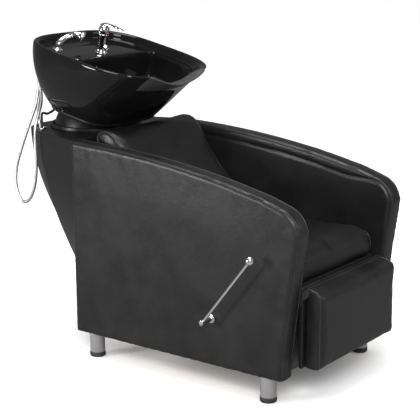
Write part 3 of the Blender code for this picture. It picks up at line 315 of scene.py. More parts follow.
# ---- surfaces ------------------------------------------------------------------------
@dataclass
class Surface:
    """Points and faces of one shape.

    Attributes:
        points: One row of x, y, z for each vertex, in the chair frame.
        quads: Four vertex numbers a row.
        caps: Faces with any number of corners.
        uv: Along and around values of the four corners of each quad, if the finish reads them.
    """

    points: np.ndarray
    quads: np.ndarray
    caps: list[list[int]] = field(default_factory=list)
    uv: Optional[np.ndarray] = None

    def plus(self, other: "Surface") -> "Surface":
        """Lay a second shape beside this one in the same mesh.

        Args:
            other: Shape to add.

        Returns:
            The joined shape.
        """
        start = len(self.points)
        return Surface(np.vstack([self.points, other.points]), np.vstack([self.quads, other.quads + start]),
                       self.caps + [[k + start for k in cap] for cap in other.caps])

    def outward(self) -> "Surface":
        """Turn the faces over if the enclosed volume comes out negative.

        Returns:
            The shape with its faces outwards.
        """
        corners = [self.quads[:, [0, 1, 2]], self.quads[:, [0, 2, 3]]]
        for cap in self.caps:
            ring = np.array(cap)
            corners.append(np.stack([np.full(len(ring) - 2, ring[0]), ring[1:-1], ring[2:]], axis=1))
        tri = self.points[np.vstack(corners)]
        volume = np.einsum("ij,ij->i", tri[:, 0], np.cross(tri[:, 1], tri[:, 2])).sum()
        if volume >= 0.0:
            return self
        uv = None if self.uv is None else self.uv[:, ::-1]
        return Surface(self.points, self.quads[:, ::-1], [cap[::-1] for cap in self.caps], uv)


def grid_quads(rows: int, columns: int, wrap_rows: bool, wrap_columns: bool) -> np.ndarray:
    """Vertex numbers of the quads of a grid stored row by row.

    Args:
        rows: Number of rows.
        columns: Number of points in a row.
        wrap_rows: Whether the last row joins the first.
        wrap_columns: Whether each row closes on itself.

    Returns:
        Four vertex numbers for each quad.
    """
    row = np.arange(rows if wrap_rows else rows - 1)
    column = np.arange(columns if wrap_columns else columns - 1)
    j, i = np.meshgrid(row, column, indexing="ij")
    here = j * columns + i
    beside = j * columns + (i + 1) % columns
    above = ((j + 1) % rows) * columns
    return np.stack([here, beside, above + (i + 1) % columns, above + i], axis=-1).reshape(-1, 4)


def loft(rings: np.ndarray, closed: bool = False) -> Surface:
    """Skin a stack of equal rings, with flat caps unless the stack closes on itself.

    Args:
        rings: Array of ring, point and coordinate.
        closed: Whether the last ring joins the first.

    Returns:
        The closed shape.
    """
    count, width = rings.shape[:2]
    quads = grid_quads(count, width, closed, True)
    last = (count - 1) * width
    caps = [] if closed else [list(range(width))[::-1], list(range(last, last + width))]
    return Surface(rings.reshape(-1, 3), quads, caps)


def rounded(corners: Sequence[Sequence[float]], radius: float, closed: bool = False,
            steps: int = 5) -> np.ndarray:
    """Round the corners of a line: each corner becomes a quadratic arc between two points near it.

    Args:
        corners: The line's corners.
        radius: Distance from a corner at which its arc starts, at most 0.45 of the next side.
        closed: Whether the line is a loop.
        steps: Points on each arc.

    Returns:
        The rounded line.
    """
    line = np.asarray(corners, float)
    before, here, after = np.roll(line, 1, axis=0), line, np.roll(line, -1, axis=0)
    if not closed:
        before, here, after = before[1:-1], here[1:-1], after[1:-1]
    back, ahead = before - here, after - here
    back_run = np.linalg.norm(back, axis=1, keepdims=True)
    ahead_run = np.linalg.norm(ahead, axis=1, keepdims=True)
    first = here + back / back_run * np.minimum(radius, 0.45 * back_run)
    second = here + ahead / ahead_run * np.minimum(radius, 0.45 * ahead_run)
    t = np.linspace(0.0, 1.0, steps)[None, :, None]
    arcs = (1 - t) ** 2 * first[:, None] + 2 * t * (1 - t) * here[:, None] + t ** 2 * second[:, None]
    arcs = arcs.reshape(-1, line.shape[1])
    return arcs if closed else np.vstack([line[:1], arcs, line[-1:]])


def evenly(line: np.ndarray, count: int, closed: bool = False) -> np.ndarray:
    """Space points evenly by length along a line.

    Args:
        line: Corners of the line.
        count: Number of points wanted.
        closed: Whether the line is a loop; the first point isn't repeated at the end.

    Returns:
        The evenly spaced points.
    """
    full = np.vstack([line, line[:1]]) if closed else np.asarray(line, float)
    run = np.concatenate([[0.0], np.cumsum(np.linalg.norm(np.diff(full, axis=0), axis=1))])
    even = np.linspace(0.0, run[-1], count, endpoint=not closed)
    return np.stack([np.interp(even, run, full[:, k]) for k in range(full.shape[1])], axis=1)


def flowing(points: Sequence[Sequence[float]], count: int) -> np.ndarray:
    """Read a smooth curve through points: on each span a cubic whose slope at a point is half the
    step between that point's neighbours.

    Args:
        points: Points that the curve passes through.
        count: Number of evenly spaced points wanted.

    Returns:
        The points of the curve.
    """
    route = np.asarray(points, float)
    padded = np.vstack([2 * route[0] - route[1], route, 2 * route[-1] - route[-2]])
    before, here, there, after = (padded[k:len(padded) - 3 + k, None] for k in range(4))
    t = np.linspace(0.0, 1.0, 24, endpoint=False)[None, :, None]
    curve = 0.5 * (2 * here + (there - before) * t + (2 * before - 5 * here + 4 * there - after) * t ** 2
                   + (3 * here - before - 3 * there + after) * t ** 3)
    return evenly(np.vstack([curve.reshape(-1, route.shape[1]), route[-1:]]), count)


def turned(profile: Sequence[Sequence[float]], centre: Sequence[float], axis: Sequence[float],
           steps: int = 64,
           soften: float = 0.0008, closed: bool = False) -> Surface:
    """Turn a profile of radius and height about an axis: each point of the profile draws a circle.

    Args:
        profile: Radius and height pairs.
        centre: Where height 0 lies on the axis.
        axis: Direction of growing height.
        steps: Points round a circle.
        soften: Size of the rounding on the profile's corners.
        closed: Whether the profile is a loop, as for a ring.

    Returns:
        The closed shape.
    """
    line = rounded(profile, soften, closed, 4) if soften > 0.0 else np.asarray(profile, float)
    along = np.asarray(axis, float) / np.linalg.norm(axis)
    side = np.cross(along, (0.0, 0.0, 1.0) if abs(along[2]) < 0.9 else (0.0, 1.0, 0.0))
    side /= np.linalg.norm(side)
    other = np.cross(along, side)
    angle = np.linspace(0.0, 2 * math.pi, steps, endpoint=False)[None, :, None]
    around = np.cos(angle) * side + np.sin(angle) * other
    rings = np.asarray(centre, float) + line[:, None, :1] * around + line[:, None, 1:] * along
    return loft(rings, closed)


def carried(path: np.ndarray, across: np.ndarray, over: np.ndarray, closed: bool = False) -> Surface:
    """Carry a section along a path in a frame that never twists: each frame is the last one, with
    the part along the new heading taken off.

    Args:
        path: Centre line.
        across: Section coordinate towards the frame's side, one row for each path point or one for all.
        over: Section coordinate along the frame's other direction, in the same form.
        closed: Whether the path is a loop.

    Returns:
        The closed shape, with along and around values in metres.
    """
    heading = np.gradient(path, axis=0)
    if closed:
        heading = np.roll(path, -1, axis=0) - np.roll(path, 1, axis=0)
    heading /= np.linalg.norm(heading, axis=1)[:, None]
    sides = np.empty_like(path)
    side = np.cross(heading[0], (0.31, 0.87, 0.11))
    for k, along in enumerate(heading):
        side = side - along * np.dot(side, along)
        side /= np.linalg.norm(side)
        sides[k] = side
    others = np.cross(heading, sides)
    across, over = np.atleast_2d(across), np.atleast_2d(over)
    rings = path[:, None] + across[..., None] * sides[:, None] + over[..., None] * others[:, None]
    shape = loft(rings, closed)
    run = np.concatenate([[0.0], np.cumsum(np.linalg.norm(np.diff(path, axis=0), axis=1))])
    width = rings.shape[1]
    girth = 2 * math.pi * float(np.hypot(across, over).mean())
    row = (shape.quads[:, 0] // width)
    column = shape.quads[:, 0] % width
    low, high = run[row], run[np.minimum(row + 1, len(run) - 1)]
    left, right = column / width * girth, (column + 1) / width * girth
    shape.uv = np.stack([np.stack([low, left], 1), np.stack([low, right], 1), np.stack([high, right], 1),
                         np.stack([high, left], 1)], axis=1)
    return shape


def tube(path: np.ndarray, radius: float | np.ndarray, steps: int = 16) -> Surface:
    """Carry a circle along a path.

    Args:
        path: Centre line.
        radius: One radius, or one for each path point.
        steps: Points round the tube.

    Returns:
        The closed shape.
    """
    angle = np.linspace(0.0, 2 * math.pi, steps, endpoint=False)
    size = np.broadcast_to(np.asarray(radius, float), (len(path),))[:, None]
    return carried(path, size * np.cos(angle), size * np.sin(angle))


def across_slab(outline: np.ndarray, half: float, edge: float, centre: float = 0.0) -> Surface:
    """Extrude a (y, z) outline across X with quarter-round long edges: near each end the outline
    draws in towards its middle by the drop of a circle of the edge radius.

    Args:
        outline: Loop of (y, z) points.
        half: Half the width.
        edge: Radius of the edge rounding.
        centre: Middle of the slab on X.

    Returns:
        The closed shape.
    """
    turn = np.linspace(0.0, 0.5 * math.pi, 7)
    place = np.concatenate([-half + edge * (1 - np.cos(turn)), half - edge * (1 - np.cos(turn[::-1]))])
    draw = np.concatenate([edge * (1 - np.sin(turn)), edge * (1 - np.sin(turn[::-1]))])
    heading = np.roll(outline, -1, axis=0) - np.roll(outline, 1, axis=0)
    heading /= np.linalg.norm(heading, axis=1)[:, None]
    normal = np.stack([heading[:, 1], -heading[:, 0]], axis=1)
    area = np.sum(outline[:, 0] * np.roll(outline[:, 1], -1) - np.roll(outline[:, 0], -1) * outline[:, 1])
    normal *= 1.0 if area > 0 else -1.0
    flat = outline[None] - draw[:, None, None] * normal[None]
    x = np.broadcast_to(centre + place[:, None, None], (len(place), len(outline), 1))
    return loft(np.concatenate([x, flat], axis=2))


# ---- pieces --------------------------------------------------------------------------
def put(name: str, shape: Surface, finish: Finish, body: Body, replaces: Iterable[str] = (),
        weld: bool = False,
        sharp: float = 40.0, ride: bool = True) -> bpy.types.Object:
    """Turn a shape into a named piece on a body.

    Args:
        name: Name of the piece.
        shape: The shape, in the chair frame.
        finish: Its finish.
        body: Body that it moves with.
        replaces: CAD nodes that it stands for.
        weld: Whether to merge doubled points first.
        sharp: Angle in degrees above which an edge stays crisp.
        ride: Whether to attach it now.

    Returns:
        The new object.
    """
    shape = shape if weld else shape.outward()
    mesh = bpy.data.meshes.new(name)
    mesh.from_pydata((shape.points + UNIT_SHIFT).tolist(), [], shape.quads.tolist() + shape.caps)
    if shape.uv is not None:
        layer = mesh.uv_layers.new(name="path")
        values = np.zeros((len(mesh.loops), 2), np.float32)
        values[:shape.uv.shape[0] * 4] = shape.uv.reshape(-1, 2)
        layer.data.foreach_set("uv", values.ravel())
    if weld:
        draft = bmesh.new()
        draft.from_mesh(mesh)
        bmesh.ops.remove_doubles(draft, verts=draft.verts, dist=1e-5)
        bmesh.ops.recalc_face_normals(draft, faces=draft.faces)
        draft.to_mesh(mesh)
        draft.free()
    made = bpy.data.objects.new(name, mesh)
    bpy.context.scene.collection.objects.link(made)
    dress(made, finish, sharp)
    if replaces:
        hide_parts(*replaces)
    if ride:
        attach(made, body.value)
    return made


def dress(piece: bpy.types.Object, finish: Finish, sharp: float = 40.0) -> None:
    """Give a piece its finish and smooth shading.

    Args:
        piece: Object to dress.
        finish: Its finish.
        sharp: Angle in degrees above which an edge stays crisp.
    """
    piece.data.materials.clear()
    piece.data.materials.append(finish.material())
    piece.data.shade_smooth()
    piece.data.set_sharp_from_angle(angle=math.radians(sharp))


def redress(finish: Finish, *nodes: str) -> None:
    """Give CAD nodes a better finish and leave their shape alone.

    Args:
        finish: The finish.
        *nodes: Node names.
    """
    for node in nodes:
        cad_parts[node].data.materials.clear()
        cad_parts[node].data.materials.append(finish.material())


def baked(piece: bpy.types.Object) -> bpy.types.Object:
    """Apply every live modifier of a piece.

    Args:
        piece: Object to settle.

    Returns:
        The same object.
    """
    graph = bpy.context.evaluated_depsgraph_get()
    mesh = bpy.data.meshes.new_from_object(piece.evaluated_get(graph))
    piece.modifiers.clear()
    piece.data = mesh
    return piece


def carve(piece: bpy.types.Object, *tools: Surface) -> None:
    """Take shapes out of a piece.

    Args:
        piece: Object to cut.
        *tools: Shapes to take out.
    """
    cutters = []
    for tool in tools:
        tool = tool.outward()
        mesh = bpy.data.meshes.new("tool")
        mesh.from_pydata((tool.points + UNIT_SHIFT).tolist(), [], tool.quads.tolist() + tool.caps)
        cutter = bpy.data.objects.new("tool", mesh)
        bpy.context.scene.collection.objects.link(cutter)
        step = piece.modifiers.new("cut", "BOOLEAN")
        step.operation = "DIFFERENCE"
        step.solver = "EXACT"
        step.object = cutter
        cutters.append(cutter)
    baked(piece)
    for cutter in cutters:
        bpy.data.objects.remove(cutter)


@dataclass
class Filling:
    """How a stuffed piece swells.

    Attributes:
        voxel: Edge of the cloth's cells.
        pressure: Pressure of the filling.
        cap: Farthest that a point may move.
        low: Lowest corner that the piece may reach, in the chair frame.
        high: Highest corner that it may reach.
        firmness: Fill from 0, slack, to 1, tight; not used.
    """

    voxel: float
    pressure: float
    cap: float
    low: tuple[float, float, float]
    high: tuple[float, float, float]
    firmness: float = 0.8

    def swell(self, piece: bpy.types.Object) -> None:
        """Blow a piece up as cloth under pressure, then hold it inside its space.

        Args:
            piece: Closed mesh object to fill.
        """
        remesh = piece.modifiers.new("cells", "REMESH")
        remesh.mode = "VOXEL"
        remesh.voxel_size = self.voxel
        baked(piece)
        start = read_points(piece)
        moved = start.copy()
        cloth = piece.modifiers.new("filling", "CLOTH")
        cloth.settings.use_pressure = True
        cloth.settings.uniform_pressure_force = self.pressure
        cloth.settings.quality = 5
        cloth.settings.effector_weights.gravity = 0.0
        cloth.collision_settings.use_collision = False
        scene = bpy.context.scene
        for frame in range(1, 21):
            scene.frame_set(frame)
        graph = bpy.context.evaluated_depsgraph_get()
        moved = read_points(piece.evaluated_get(graph))
        piece.modifiers.clear()
        scene.frame_set(1)
        shift = moved - start
        size = np.linalg.norm(shift, axis=1)[:, None]
        moved = start + shift * np.minimum(1.0, self.cap / np.maximum(size, 1e-9))
        low = np.array(self.low) + UNIT_SHIFT
        high = np.array(self.high) + UNIT_SHIFT
        piece.data.vertices.foreach_set("co", np.clip(moved, low, high).astype(np.float32).ravel())
        piece.data.update()
        relax = piece.modifiers.new("relax", "CORRECTIVE_SMOOTH")
        relax.use_only_smooth = True
        relax.iterations = 6
        baked(piece)
        finer = piece.modifiers.new("finer", "SUBSURF")
        finer.levels = 1
        finer.render_levels = 1
        baked(piece)


def read_points(piece: bpy.types.Object) -> np.ndarray:
    """Vertex positions of a mesh object.

    Args:
        piece: Object to read.

    Returns:
        One row for each vertex.
    """
    values = np.zeros(len(piece.data.vertices) * 3, np.float32)
    piece.data.vertices.foreach_get("co", values)
    return values.reshape(-1, 3).astype(float)


def smoothstep(value: np.ndarray | float, low: float, high: float) -> np.ndarray:
    """Rise from 0 at low to 1 at high along 3t squared minus 2t cubed."""
    t = np.clip((np.asarray(value, float) - low) / (high - low), 0.0, 1.0)
    return t * t * (3.0 - 2.0 * t)


def shares_of(line: np.ndarray, shares: np.ndarray) -> np.ndarray:
    """Points at given shares of a line's length.

    Args:
        line: Corners of the line.
        shares: Values from 0 to 1.

    Returns:
        The points.
    """
    run = np.concatenate([[0.0], np.cumsum(np.linalg.norm(np.diff(line, axis=0), axis=1))])
    return np.stack([np.interp(shares * run[-1], run, line[:, k]) for k in range(line.shape[1])], axis=1)


def cling(path: np.ndarray, piece: bpy.types.Object, lift: float) -> np.ndarray:
    """Lay a path on a piece's surface and raise it by a distance along the surface normal.

    Args:
        path: Points near the surface, in the chair frame.
        piece: Mesh object to lie on.
        lift: Distance above the surface.

    Returns:
        The path on the surface, in the chair frame.
    """
    laid = []
    for spot in path + UNIT_SHIFT:
        found, where, normal, _ = piece.closest_point_on_mesh(spot)
        laid.append(np.array(where) + np.array(normal) * lift)
    return flowing(np.array(laid), len(laid)) - UNIT_SHIFT


# ---- side panels ---------------------------------------------------------------------
@dataclass
class SidePanels:
    """The two upholstered side panels with their edge bands, piping, legs and feet.

    Attributes:
        half_width: Distance of the outer faces from the middle.
        thick: Thickness of a panel.
        length: Length of a panel.
        bottom: Height of a panel's lower edge.
        arm: Arm height as a cubic in y.
        nose: Centre and radius of the round front corner.
        lean: How far the front corner stands ahead of the foot.
        pad: Thickness of the padding on a face.
        band: Thickness of the padding on the edge.
        crown: How far the padding bulges in the middle of a face.
        edge: Radius of the soft edge of the padding.
        welt: Radius of the piping.
    """

    half_width: float = 0.310
    thick: float = 0.070
    length: float = 0.8175
    bottom: float = 0.083
    arm: tuple[float, ...] = (0.6114, 0.2807, -0.2179, 0.0518)
    nose: tuple[float, float, float] = (0.026, 0.527, 0.085)
    lean: float = 0.059
    pad: float = 0.011
    band: float = 0.009
    crown: float = 0.0026
    edge: float = 0.0135
    welt: float = 0.0019

    def arm_height(self, y: np.ndarray) -> np.ndarray:
        """Height of the arm's top line: a cubic in y."""
        return sum(term * y ** power for power, term in enumerate(self.arm))

    def top_line(self) -> np.ndarray:
        """Top line from the rear corner over the arm to the middle of the nose, then down to the foot."""
        y = np.linspace(self.length, 0.06, 14)
        arm = np.stack([y, self.arm_height(y)], axis=1)
        angle = np.radians(np.linspace(106.0, 176.0, 9))
        nose = np.stack([self.nose[0] + self.nose[2] * np.cos(angle),
                         self.nose[1] + self.nose[2] * np.sin(angle)], 1)
        z = np.linspace(0.47, self.bottom, 7)
        rise = (z - self.bottom) / (self.nose[1] - self.bottom)
        front = np.stack([-self.lean * rise ** 1.15, z], axis=1)
        return flowing(np.vstack([arm, nose, front]), 420)

    def face_grid(self) -> tuple[np.ndarray, np.ndarray, np.ndarray]:
        """Spread a grid over the panel's face: each point is the blend of the four edges.

        Returns:
            The (y, z) grid, every point's distance from the edge, and its place round the edge.
        """
        line = self.top_line()
        corner = np.argmin(np.hypot(line[:, 0] - (self.nose[0] - 0.066),
                                    line[:, 1] - (self.nose[1] + 0.0535)))
        shares = [0.35 * s + 0.65 * (0.5 - 0.5 * np.cos(math.pi * s)) for s in
                  (np.linspace(0, 1, 96), np.linspace(0, 1, 76))]
        u, v = shares
        foot = np.array([[0.0, self.bottom], [self.length, self.bottom]])
        top = shares_of(line[:corner + 1][::-1], u)
        front = shares_of(line[corner:][::-1], v)
        rear = shares_of(np.array([foot[1], line[0]]), v)
        low = shares_of(foot, u)
        a, b = u[None, :, None], v[:, None, None]
        grid = (1 - b) * low[None] + b * top[None] + (1 - a) * front[:, None] + a * rear[:, None]
        grid -= (1 - a) * (1 - b) * low[0] + a * (1 - b) * low[-1] + (1 - a) * b * top[0] + a * b * top[-1]
        loop = evenly(np.vstack([foot[:1], foot[1:], line]), 900, True)
        gap = np.linalg.norm(grid[:, :, None] - loop[None, None], axis=3)
        return grid, gap.min(axis=2), gap.argmin(axis=2) / 900.0

    def cover(self, side: Side, outside: bool, grid: np.ndarray, reach: np.ndarray,
              place: np.ndarray) -> Surface:
        """Padded face: it rises from the seam like a quarter circle, swells by the crown towards the
        middle, and puckers with short waves that fade away from the seam.

        Args:
            side: Side of the chair.
            outside: Whether this is the outer face.
            grid: (y, z) points.
            reach: Distance of each point from the edge.
            place: Place of each point round the edge, from 0 to 1.

        Returns:
            The closed padding.
        """
        edge = np.clip(reach / self.edge, 0.0, 1.0)
        high = self.pad * np.sqrt(1.0 - (1.0 - edge) ** 2)
        middle = smoothstep(reach, 0.0, 0.16)
        y, z = grid[..., 0], grid[..., 1]
        if outside:
            hub = smoothstep(np.hypot(y - 0.249, z - 0.236), 0.016, 0.060) if side is Side.RIGHT else 1.0
            high = high + self.crown * middle * hub
        else:
            fold = 0.007 + 0.025 * smoothstep(y, -0.02, 0.12)
            upper = smoothstep(z, 0.42, 0.50)
            high = high - 0.0042 * upper * np.exp(-((reach - fold) / 0.0042) ** 2)
        wave = (np.sin(2 * math.pi * (47 * place + 0.31 * np.sin(34 * place))) * 0.5
                + np.sin(2 * math.pi * (83 * place + 0.2)) * 0.3 + np.sin(2 * math.pi * (19 * place)) * 0.4)
        high = high + 0.00065 * wave * np.exp(-((reach - 0.022) / 0.020) ** 2) * smoothstep(reach, 0.003,
                                                                                            0.015)
        drift = np.sin(9.0 * y + 4.0 * z) * np.sin(7.0 * z - 3.0 * y + 1.0)
        high = high + 0.0009 * drift * middle
        base = side.value * (self.half_width - self.pad
                             if outside else self.half_width - self.thick + self.pad)
        away = side.value * (1.0 if outside else -1.0)
        rows, columns = y.shape
        face = np.stack([base + away * high, y, z], axis=-1).reshape(-1, 3)
        back = np.stack([np.full_like(y, base), y, z], axis=-1).reshape(-1, 3)
        quads = grid_quads(rows, columns, False, False)
        return Surface(np.vstack([face, back]), np.vstack([quads, quads[:, ::-1] + len(face)]))

    def edge_path(self) -> np.ndarray:
        """Line along the panel's edge from the rear foot over the arm to the front foot."""
        top = self.top_line()
        rear = np.array([[self.length, self.bottom], [self.length, top[0, 1] - 0.014]])
        turn = rounded([rear[1], top[0], shares_of(top, np.array([0.012]))[0]], 0.012, steps=7)
        return evenly(np.vstack([rear[:1], turn, top[8:]]), 460)

    def edge_frame(self) -> tuple[np.ndarray, np.ndarray]:
        """Edge line and its outward normals."""
        path = self.edge_path()
        heading = np.gradient(path, axis=0)
        heading /= np.linalg.norm(heading, axis=1)[:, None]
        return path, np.stack([heading[:, 1], -heading[:, 0]], axis=1)

    def band_strip(self, side: Side) -> Surface:
        """Padded strip along the edge: a rounded section whose outer side is crowned, set along the
        edge line's normals."""
        path, normal = self.edge_frame()
        half = 0.5 * self.thick - self.pad - 0.0003
        section = evenly(rounded([(-half, -self.band), (half, -self.band), (half, 0.0), (-half, 0.0)], 0.0050,
                                 True, 6), 44, True)
        rise = np.where(section[:, 1] > -0.5 * self.band, 0.0022 * (1 - (section[:, 0] / half) ** 2), 0.0)
        out = section[:, 1] + rise - 0.0006
        middle = side.value * (self.half_width - 0.5 * self.thick)
        x = np.broadcast_to(middle + section[None, :], (len(path), *section.shape))[..., 0]
        run = np.linspace(0.0, 1.0, len(path))[:, None]
        ripple = 0.00035 * np.sin(2 * math.pi * 57 * run + 1.3 * np.sin(40 * run)) * np.cos(
            0.5 * math.pi * section[None, :, 0] / half)
        lift = out[None, :] + ripple * (section[None, :, 1] > -0.5 * self.band)
        flat = path[:, None] + lift[..., None] * normal[:, None]
        return loft(np.concatenate([x[..., None], flat], axis=2))

    def piping(self, side: Side, outside: bool) -> Surface:
        """Piping cord in the seam between a face and the edge band."""
        path, normal = self.edge_frame()
        inset = self.pad if outside else self.thick - self.pad
        x = np.full((len(path), 1), side.value * (self.half_width - inset))
        return tube(np.hstack([x, path - 0.0012 * normal]), self.welt, 10)

    def build(self) -> list[str]:
        """Build and dress both panels.

        Returns:
            Names of the pieces made.
        """
        made = []
        grid, reach, place = self.face_grid()
        for side in Side:
            tag = side.label
            for outside, kind in ((True, "outer"), (False, "inner")):
                cover = self.cover(side, outside, grid, reach, place)
                piece = put(f"{kind}_cover_{tag}", cover, LEATHER, Body.CHAIR, [f"{kind}_pad_{tag}"],
                            weld=True,
                            sharp=60.0)
                put(f"{kind}_piping_{tag}", self.piping(side, outside), PIPING, Body.CHAIR)
                made += [piece.name, f"{kind}_piping_{tag}"]
            strip = put(f"arm_band_{tag}", self.band_strip(side), LEATHER, Body.CHAIR, [f"edge_band_{tag}"])
            made += [strip.name, *self.build_legs(side)]
        return made

    def build_legs(self, side: Side) -> list[str]:
        """Build the two legs of one panel, each a satin tube with a flange above and a black cap below.

        Args:
            side: Side of the chair.

        Returns:
            Names of the pieces made.
        """
        made = []
        for place, y in (("front", 0.063), ("rear", self.length - 0.063)):
            x = side.value * (self.half_width - 0.036)
            top = self.bottom - 0.0003
            leg = [(0.004, 0.0163), (0.0250, 0.0163), (0.0250, top - 0.0045), (0.0272, top - 0.0040),
                   (0.0290, top - 0.0034),
                   (0.0290, top), (0.004, top)]
            cap = [(0.004, 0.0), (0.0235, 0.0), (0.0258, 0.0024), (0.0262, 0.0080), (0.0258, 0.0160),
                   (0.004, 0.0160)]
            name = f"{place}_{side.label}"
            put(f"leg_tube_{name}", turned(leg, (x, y, 0.0), (0, 0, 1)), SATIN, Body.CHAIR, [f"leg_{name}"])
            put(f"leg_cap_{name}", turned(cap, (x, y, 0.0), (0, 0, 1), soften=0.0015), RUBBER, Body.CHAIR,
                [f"foot_{name}"])
            made += [f"leg_tube_{name}", f"leg_cap_{name}"]
        return made


# ---- seat and back -------------------------------------------------------------------
@dataclass
class Cushions:
    """Seat and back cushions with their piping.

    Attributes:
        seat: Seat outline (y, z).
        back: Back outline (y, z).
        half: Half width before filling.
        edge: Radius of the cushions' side edges before filling.
        welt: Radius of the piping.
        seat_filling: How the seat swells.
        back_filling: How the back swells.
    """

    seat: tuple[tuple[float, float], ...] = (
        (-0.008, 0.359), (-0.014, 0.370), (-0.014, 0.408), (-0.007, 0.428), (0.010, 0.441), (0.040, 0.446),
        (0.446, 0.446), (0.452, 0.440), (0.462, 0.360))
    back: tuple[tuple[float, float], ...] = (
        (0.464, 0.464), (0.531, 0.537), (0.593, 0.591), (0.646, 0.659), (0.685, 0.720), (0.712, 0.750),
        (0.748, 0.764),
        (0.782, 0.754), (0.796, 0.730), (0.744, 0.641), (0.690, 0.562), (0.620, 0.489), (0.542, 0.424))
    half: float = 0.2290
    edge: float = 0.020
    welt: float = 0.0021
    seat_filling: Filling = field(default_factory=lambda: Filling(
        0.006, 4.0, 0.010, (-0.2385, -0.0235, 0.3575), (0.2385, 0.464, 0.461)))
    back_filling: Filling = field(default_factory=lambda: Filling(
        0.006, 4.0, 0.010, (-0.2385, 0.452, 0.415), (0.2385, 0.800, 0.772)))

    def build(self) -> list[str]:
        """Fill the cushions and lay their piping.

        Returns:
            Names of the pieces made.
        """
        made = []
        for name, outline, filling, node in (("seat_pad", self.seat, self.seat_filling, "seat_cushion"),
                                             ("back_pad", self.back, self.back_filling, "back_cushion")):
            loop = evenly(rounded(outline, 0.014, True), 150, True)
            piece = put(name, across_slab(loop, self.half, self.edge), LEATHER, Body.CHAIR, [node],
                        ride=False)
            filling.swell(piece)
            dress(piece, LEATHER, 180.0)
            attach(piece, Body.CHAIR.value)
            made.append(name)
            for side in Side:
                x = side.value * (self.half - 0.0035)
                line = np.hstack([np.full((len(loop), 1), x), loop])
                laid = cling(line[::2], piece, 0.25 * self.welt)
                ring = carried(laid, *self.round_section(), closed=True)
                put(f"{name}_piping_{side.label}", ring, PIPING, Body.CHAIR)
                made.append(f"{name}_piping_{side.label}")
        return made

    def round_section(self) -> tuple[np.ndarray, np.ndarray]:
        """Circle of the piping's radius."""
        angle = np.linspace(0.0, 2 * math.pi, 10, endpoint=False)
        return self.welt * np.cos(angle), self.welt * np.sin(angle)


@dataclass
class LegRest:
    """Swinging leg rest with its filled pad and piping.

    Attributes:
        outline: Pad outline (y, z).
        half: Half width before filling.
        edge: Radius of the side edges before filling.
        welt: Radius of the piping.
        filling: How the pad swells.
    """

    outline: tuple[tuple[float, float], ...] = (
        (-0.0290, 0.1045), (-0.076, 0.1050), (-0.084, 0.110), (-0.0865, 0.120), (-0.0865, 0.336),
        (-0.083, 0.348),
        (-0.074, 0.355), (-0.034, 0.3655), (-0.0290, 0.3650))
    half: float = 0.2285
    edge: float = 0.0085
    welt: float = 0.0019
    filling: Filling = field(default_factory=lambda: Filling(
        0.005, 4.0, 0.0065, (-0.2325, -0.0965, 0.1035), (0.2325, -0.0284, 0.3665), 0.9))

    def build(self) -> list[str]:
        """Fill the pad, lay its piping and dress the steel and timber behind it.

        Returns:
            Names of the pieces made.
        """
        loop = evenly(rounded(self.outline, 0.009, True), 130, True)
        piece = put("leg_pad", across_slab(loop, self.half, self.edge), LEATHER, Body.LEG_REST,
                    ["leg_rest_pad"],
                    ride=False)
        self.filling.swell(piece)
        dress(piece, LEATHER, 180.0)
        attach(piece, Body.LEG_REST.value)
        made = ["leg_pad"]
        front = loop[loop[:, 0] < -0.033]
        start = int(np.argmax(np.linalg.norm(np.diff(np.vstack([front, front[:1]]), axis=0), axis=1))) + 1
        front = np.roll(front, -start, axis=0)
        for side in Side:
            line = np.hstack([np.full((len(front), 1), side.value * (self.half - 0.0030)), front])
            put(f"leg_pad_piping_{side.label}", tube(cling(line, piece, 0.4 * self.welt), self.welt, 10),
                PIPING,
                Body.LEG_REST)
            made.append(f"leg_pad_piping_{side.label}")
        top = np.stack([np.linspace(-0.224, 0.224, 60), np.full(60, -0.0335), np.full(60, 0.366)], axis=1)
        put("leg_pad_top_piping", tube(cling(top, piece, 0.4 * self.welt), self.welt, 10), PIPING,
            Body.LEG_REST)
        # Black cloth sheets in the front opening behind the leg rest, as painted shade.
        for side in Side:
            made.append(self.shade_sheet(side))
        # The board behind the pad is wrapped in the black leather, which also paints the shade in the gap
        # behind the leg rest.
        back = evenly(rounded([(-0.0286, 0.1080), (-0.0152, 0.1080), (-0.0152, 0.3610), (-0.0286, 0.3610)],
                              0.004, True),
                      90, True)
        put("leg_rest_back", across_slab(back, 0.2308, 0.003), LEATHER, Body.LEG_REST, ["leg_rest_board"])
        made.append("leg_rest_back")
        # Painted shade: the steel frame behind the pad is coloured black for the shadow in that gap.
        redress(SHADED_STEEL, "leg_rest_frame")
        return made + ["leg_pad_top_piping"]


    def shade_sheet(self, side: Side) -> str:
        """Stretch a black cloth sheet between the two front rails on one side of the push bar, as painted
        shade
        for the dark opening behind the leg rest: a flat grid with a slight sag towards its middle, given its
        thickness by a second grid behind it.

        Args:
            side: Side of the chair.

        Returns:
            Name of the piece.
        """
        x, z = np.meshgrid(np.linspace(0.030, 0.2394, 25), np.linspace(0.095, 0.338, 27), indexing="ij")
        sag = 0.0030 * np.sin(math.pi * (x - 0.030) / 0.2094) * np.sin(math.pi * (z - 0.095) / 0.243)
        face = np.stack([side.value * x, 0.0128 + sag, z], axis=-1).reshape(-1, 3)
        back = face + (0.0, 0.0007, 0.0)
        rows, columns = x.shape
        rim = np.concatenate([np.arange(columns), np.arange(1, rows) * columns + columns - 1,
                              (rows - 1) * columns + np.arange(columns - 2, -1, -1),
                              np.arange(rows - 2, 0, -1) * columns])
        after = np.roll(rim, -1)
        count = len(face)
        quads = grid_quads(rows, columns, False, False)
        edge = np.stack([rim, rim + count, after + count, after], axis=1)
        shape = Surface(np.vstack([face, back]), np.vstack([quads[:, ::-1], quads + count, edge]))
        piece = put(f"front_cloth_{side.label}", shape, SHADE_CLOTH, Body.CHAIR, weld=True)
        return piece.name


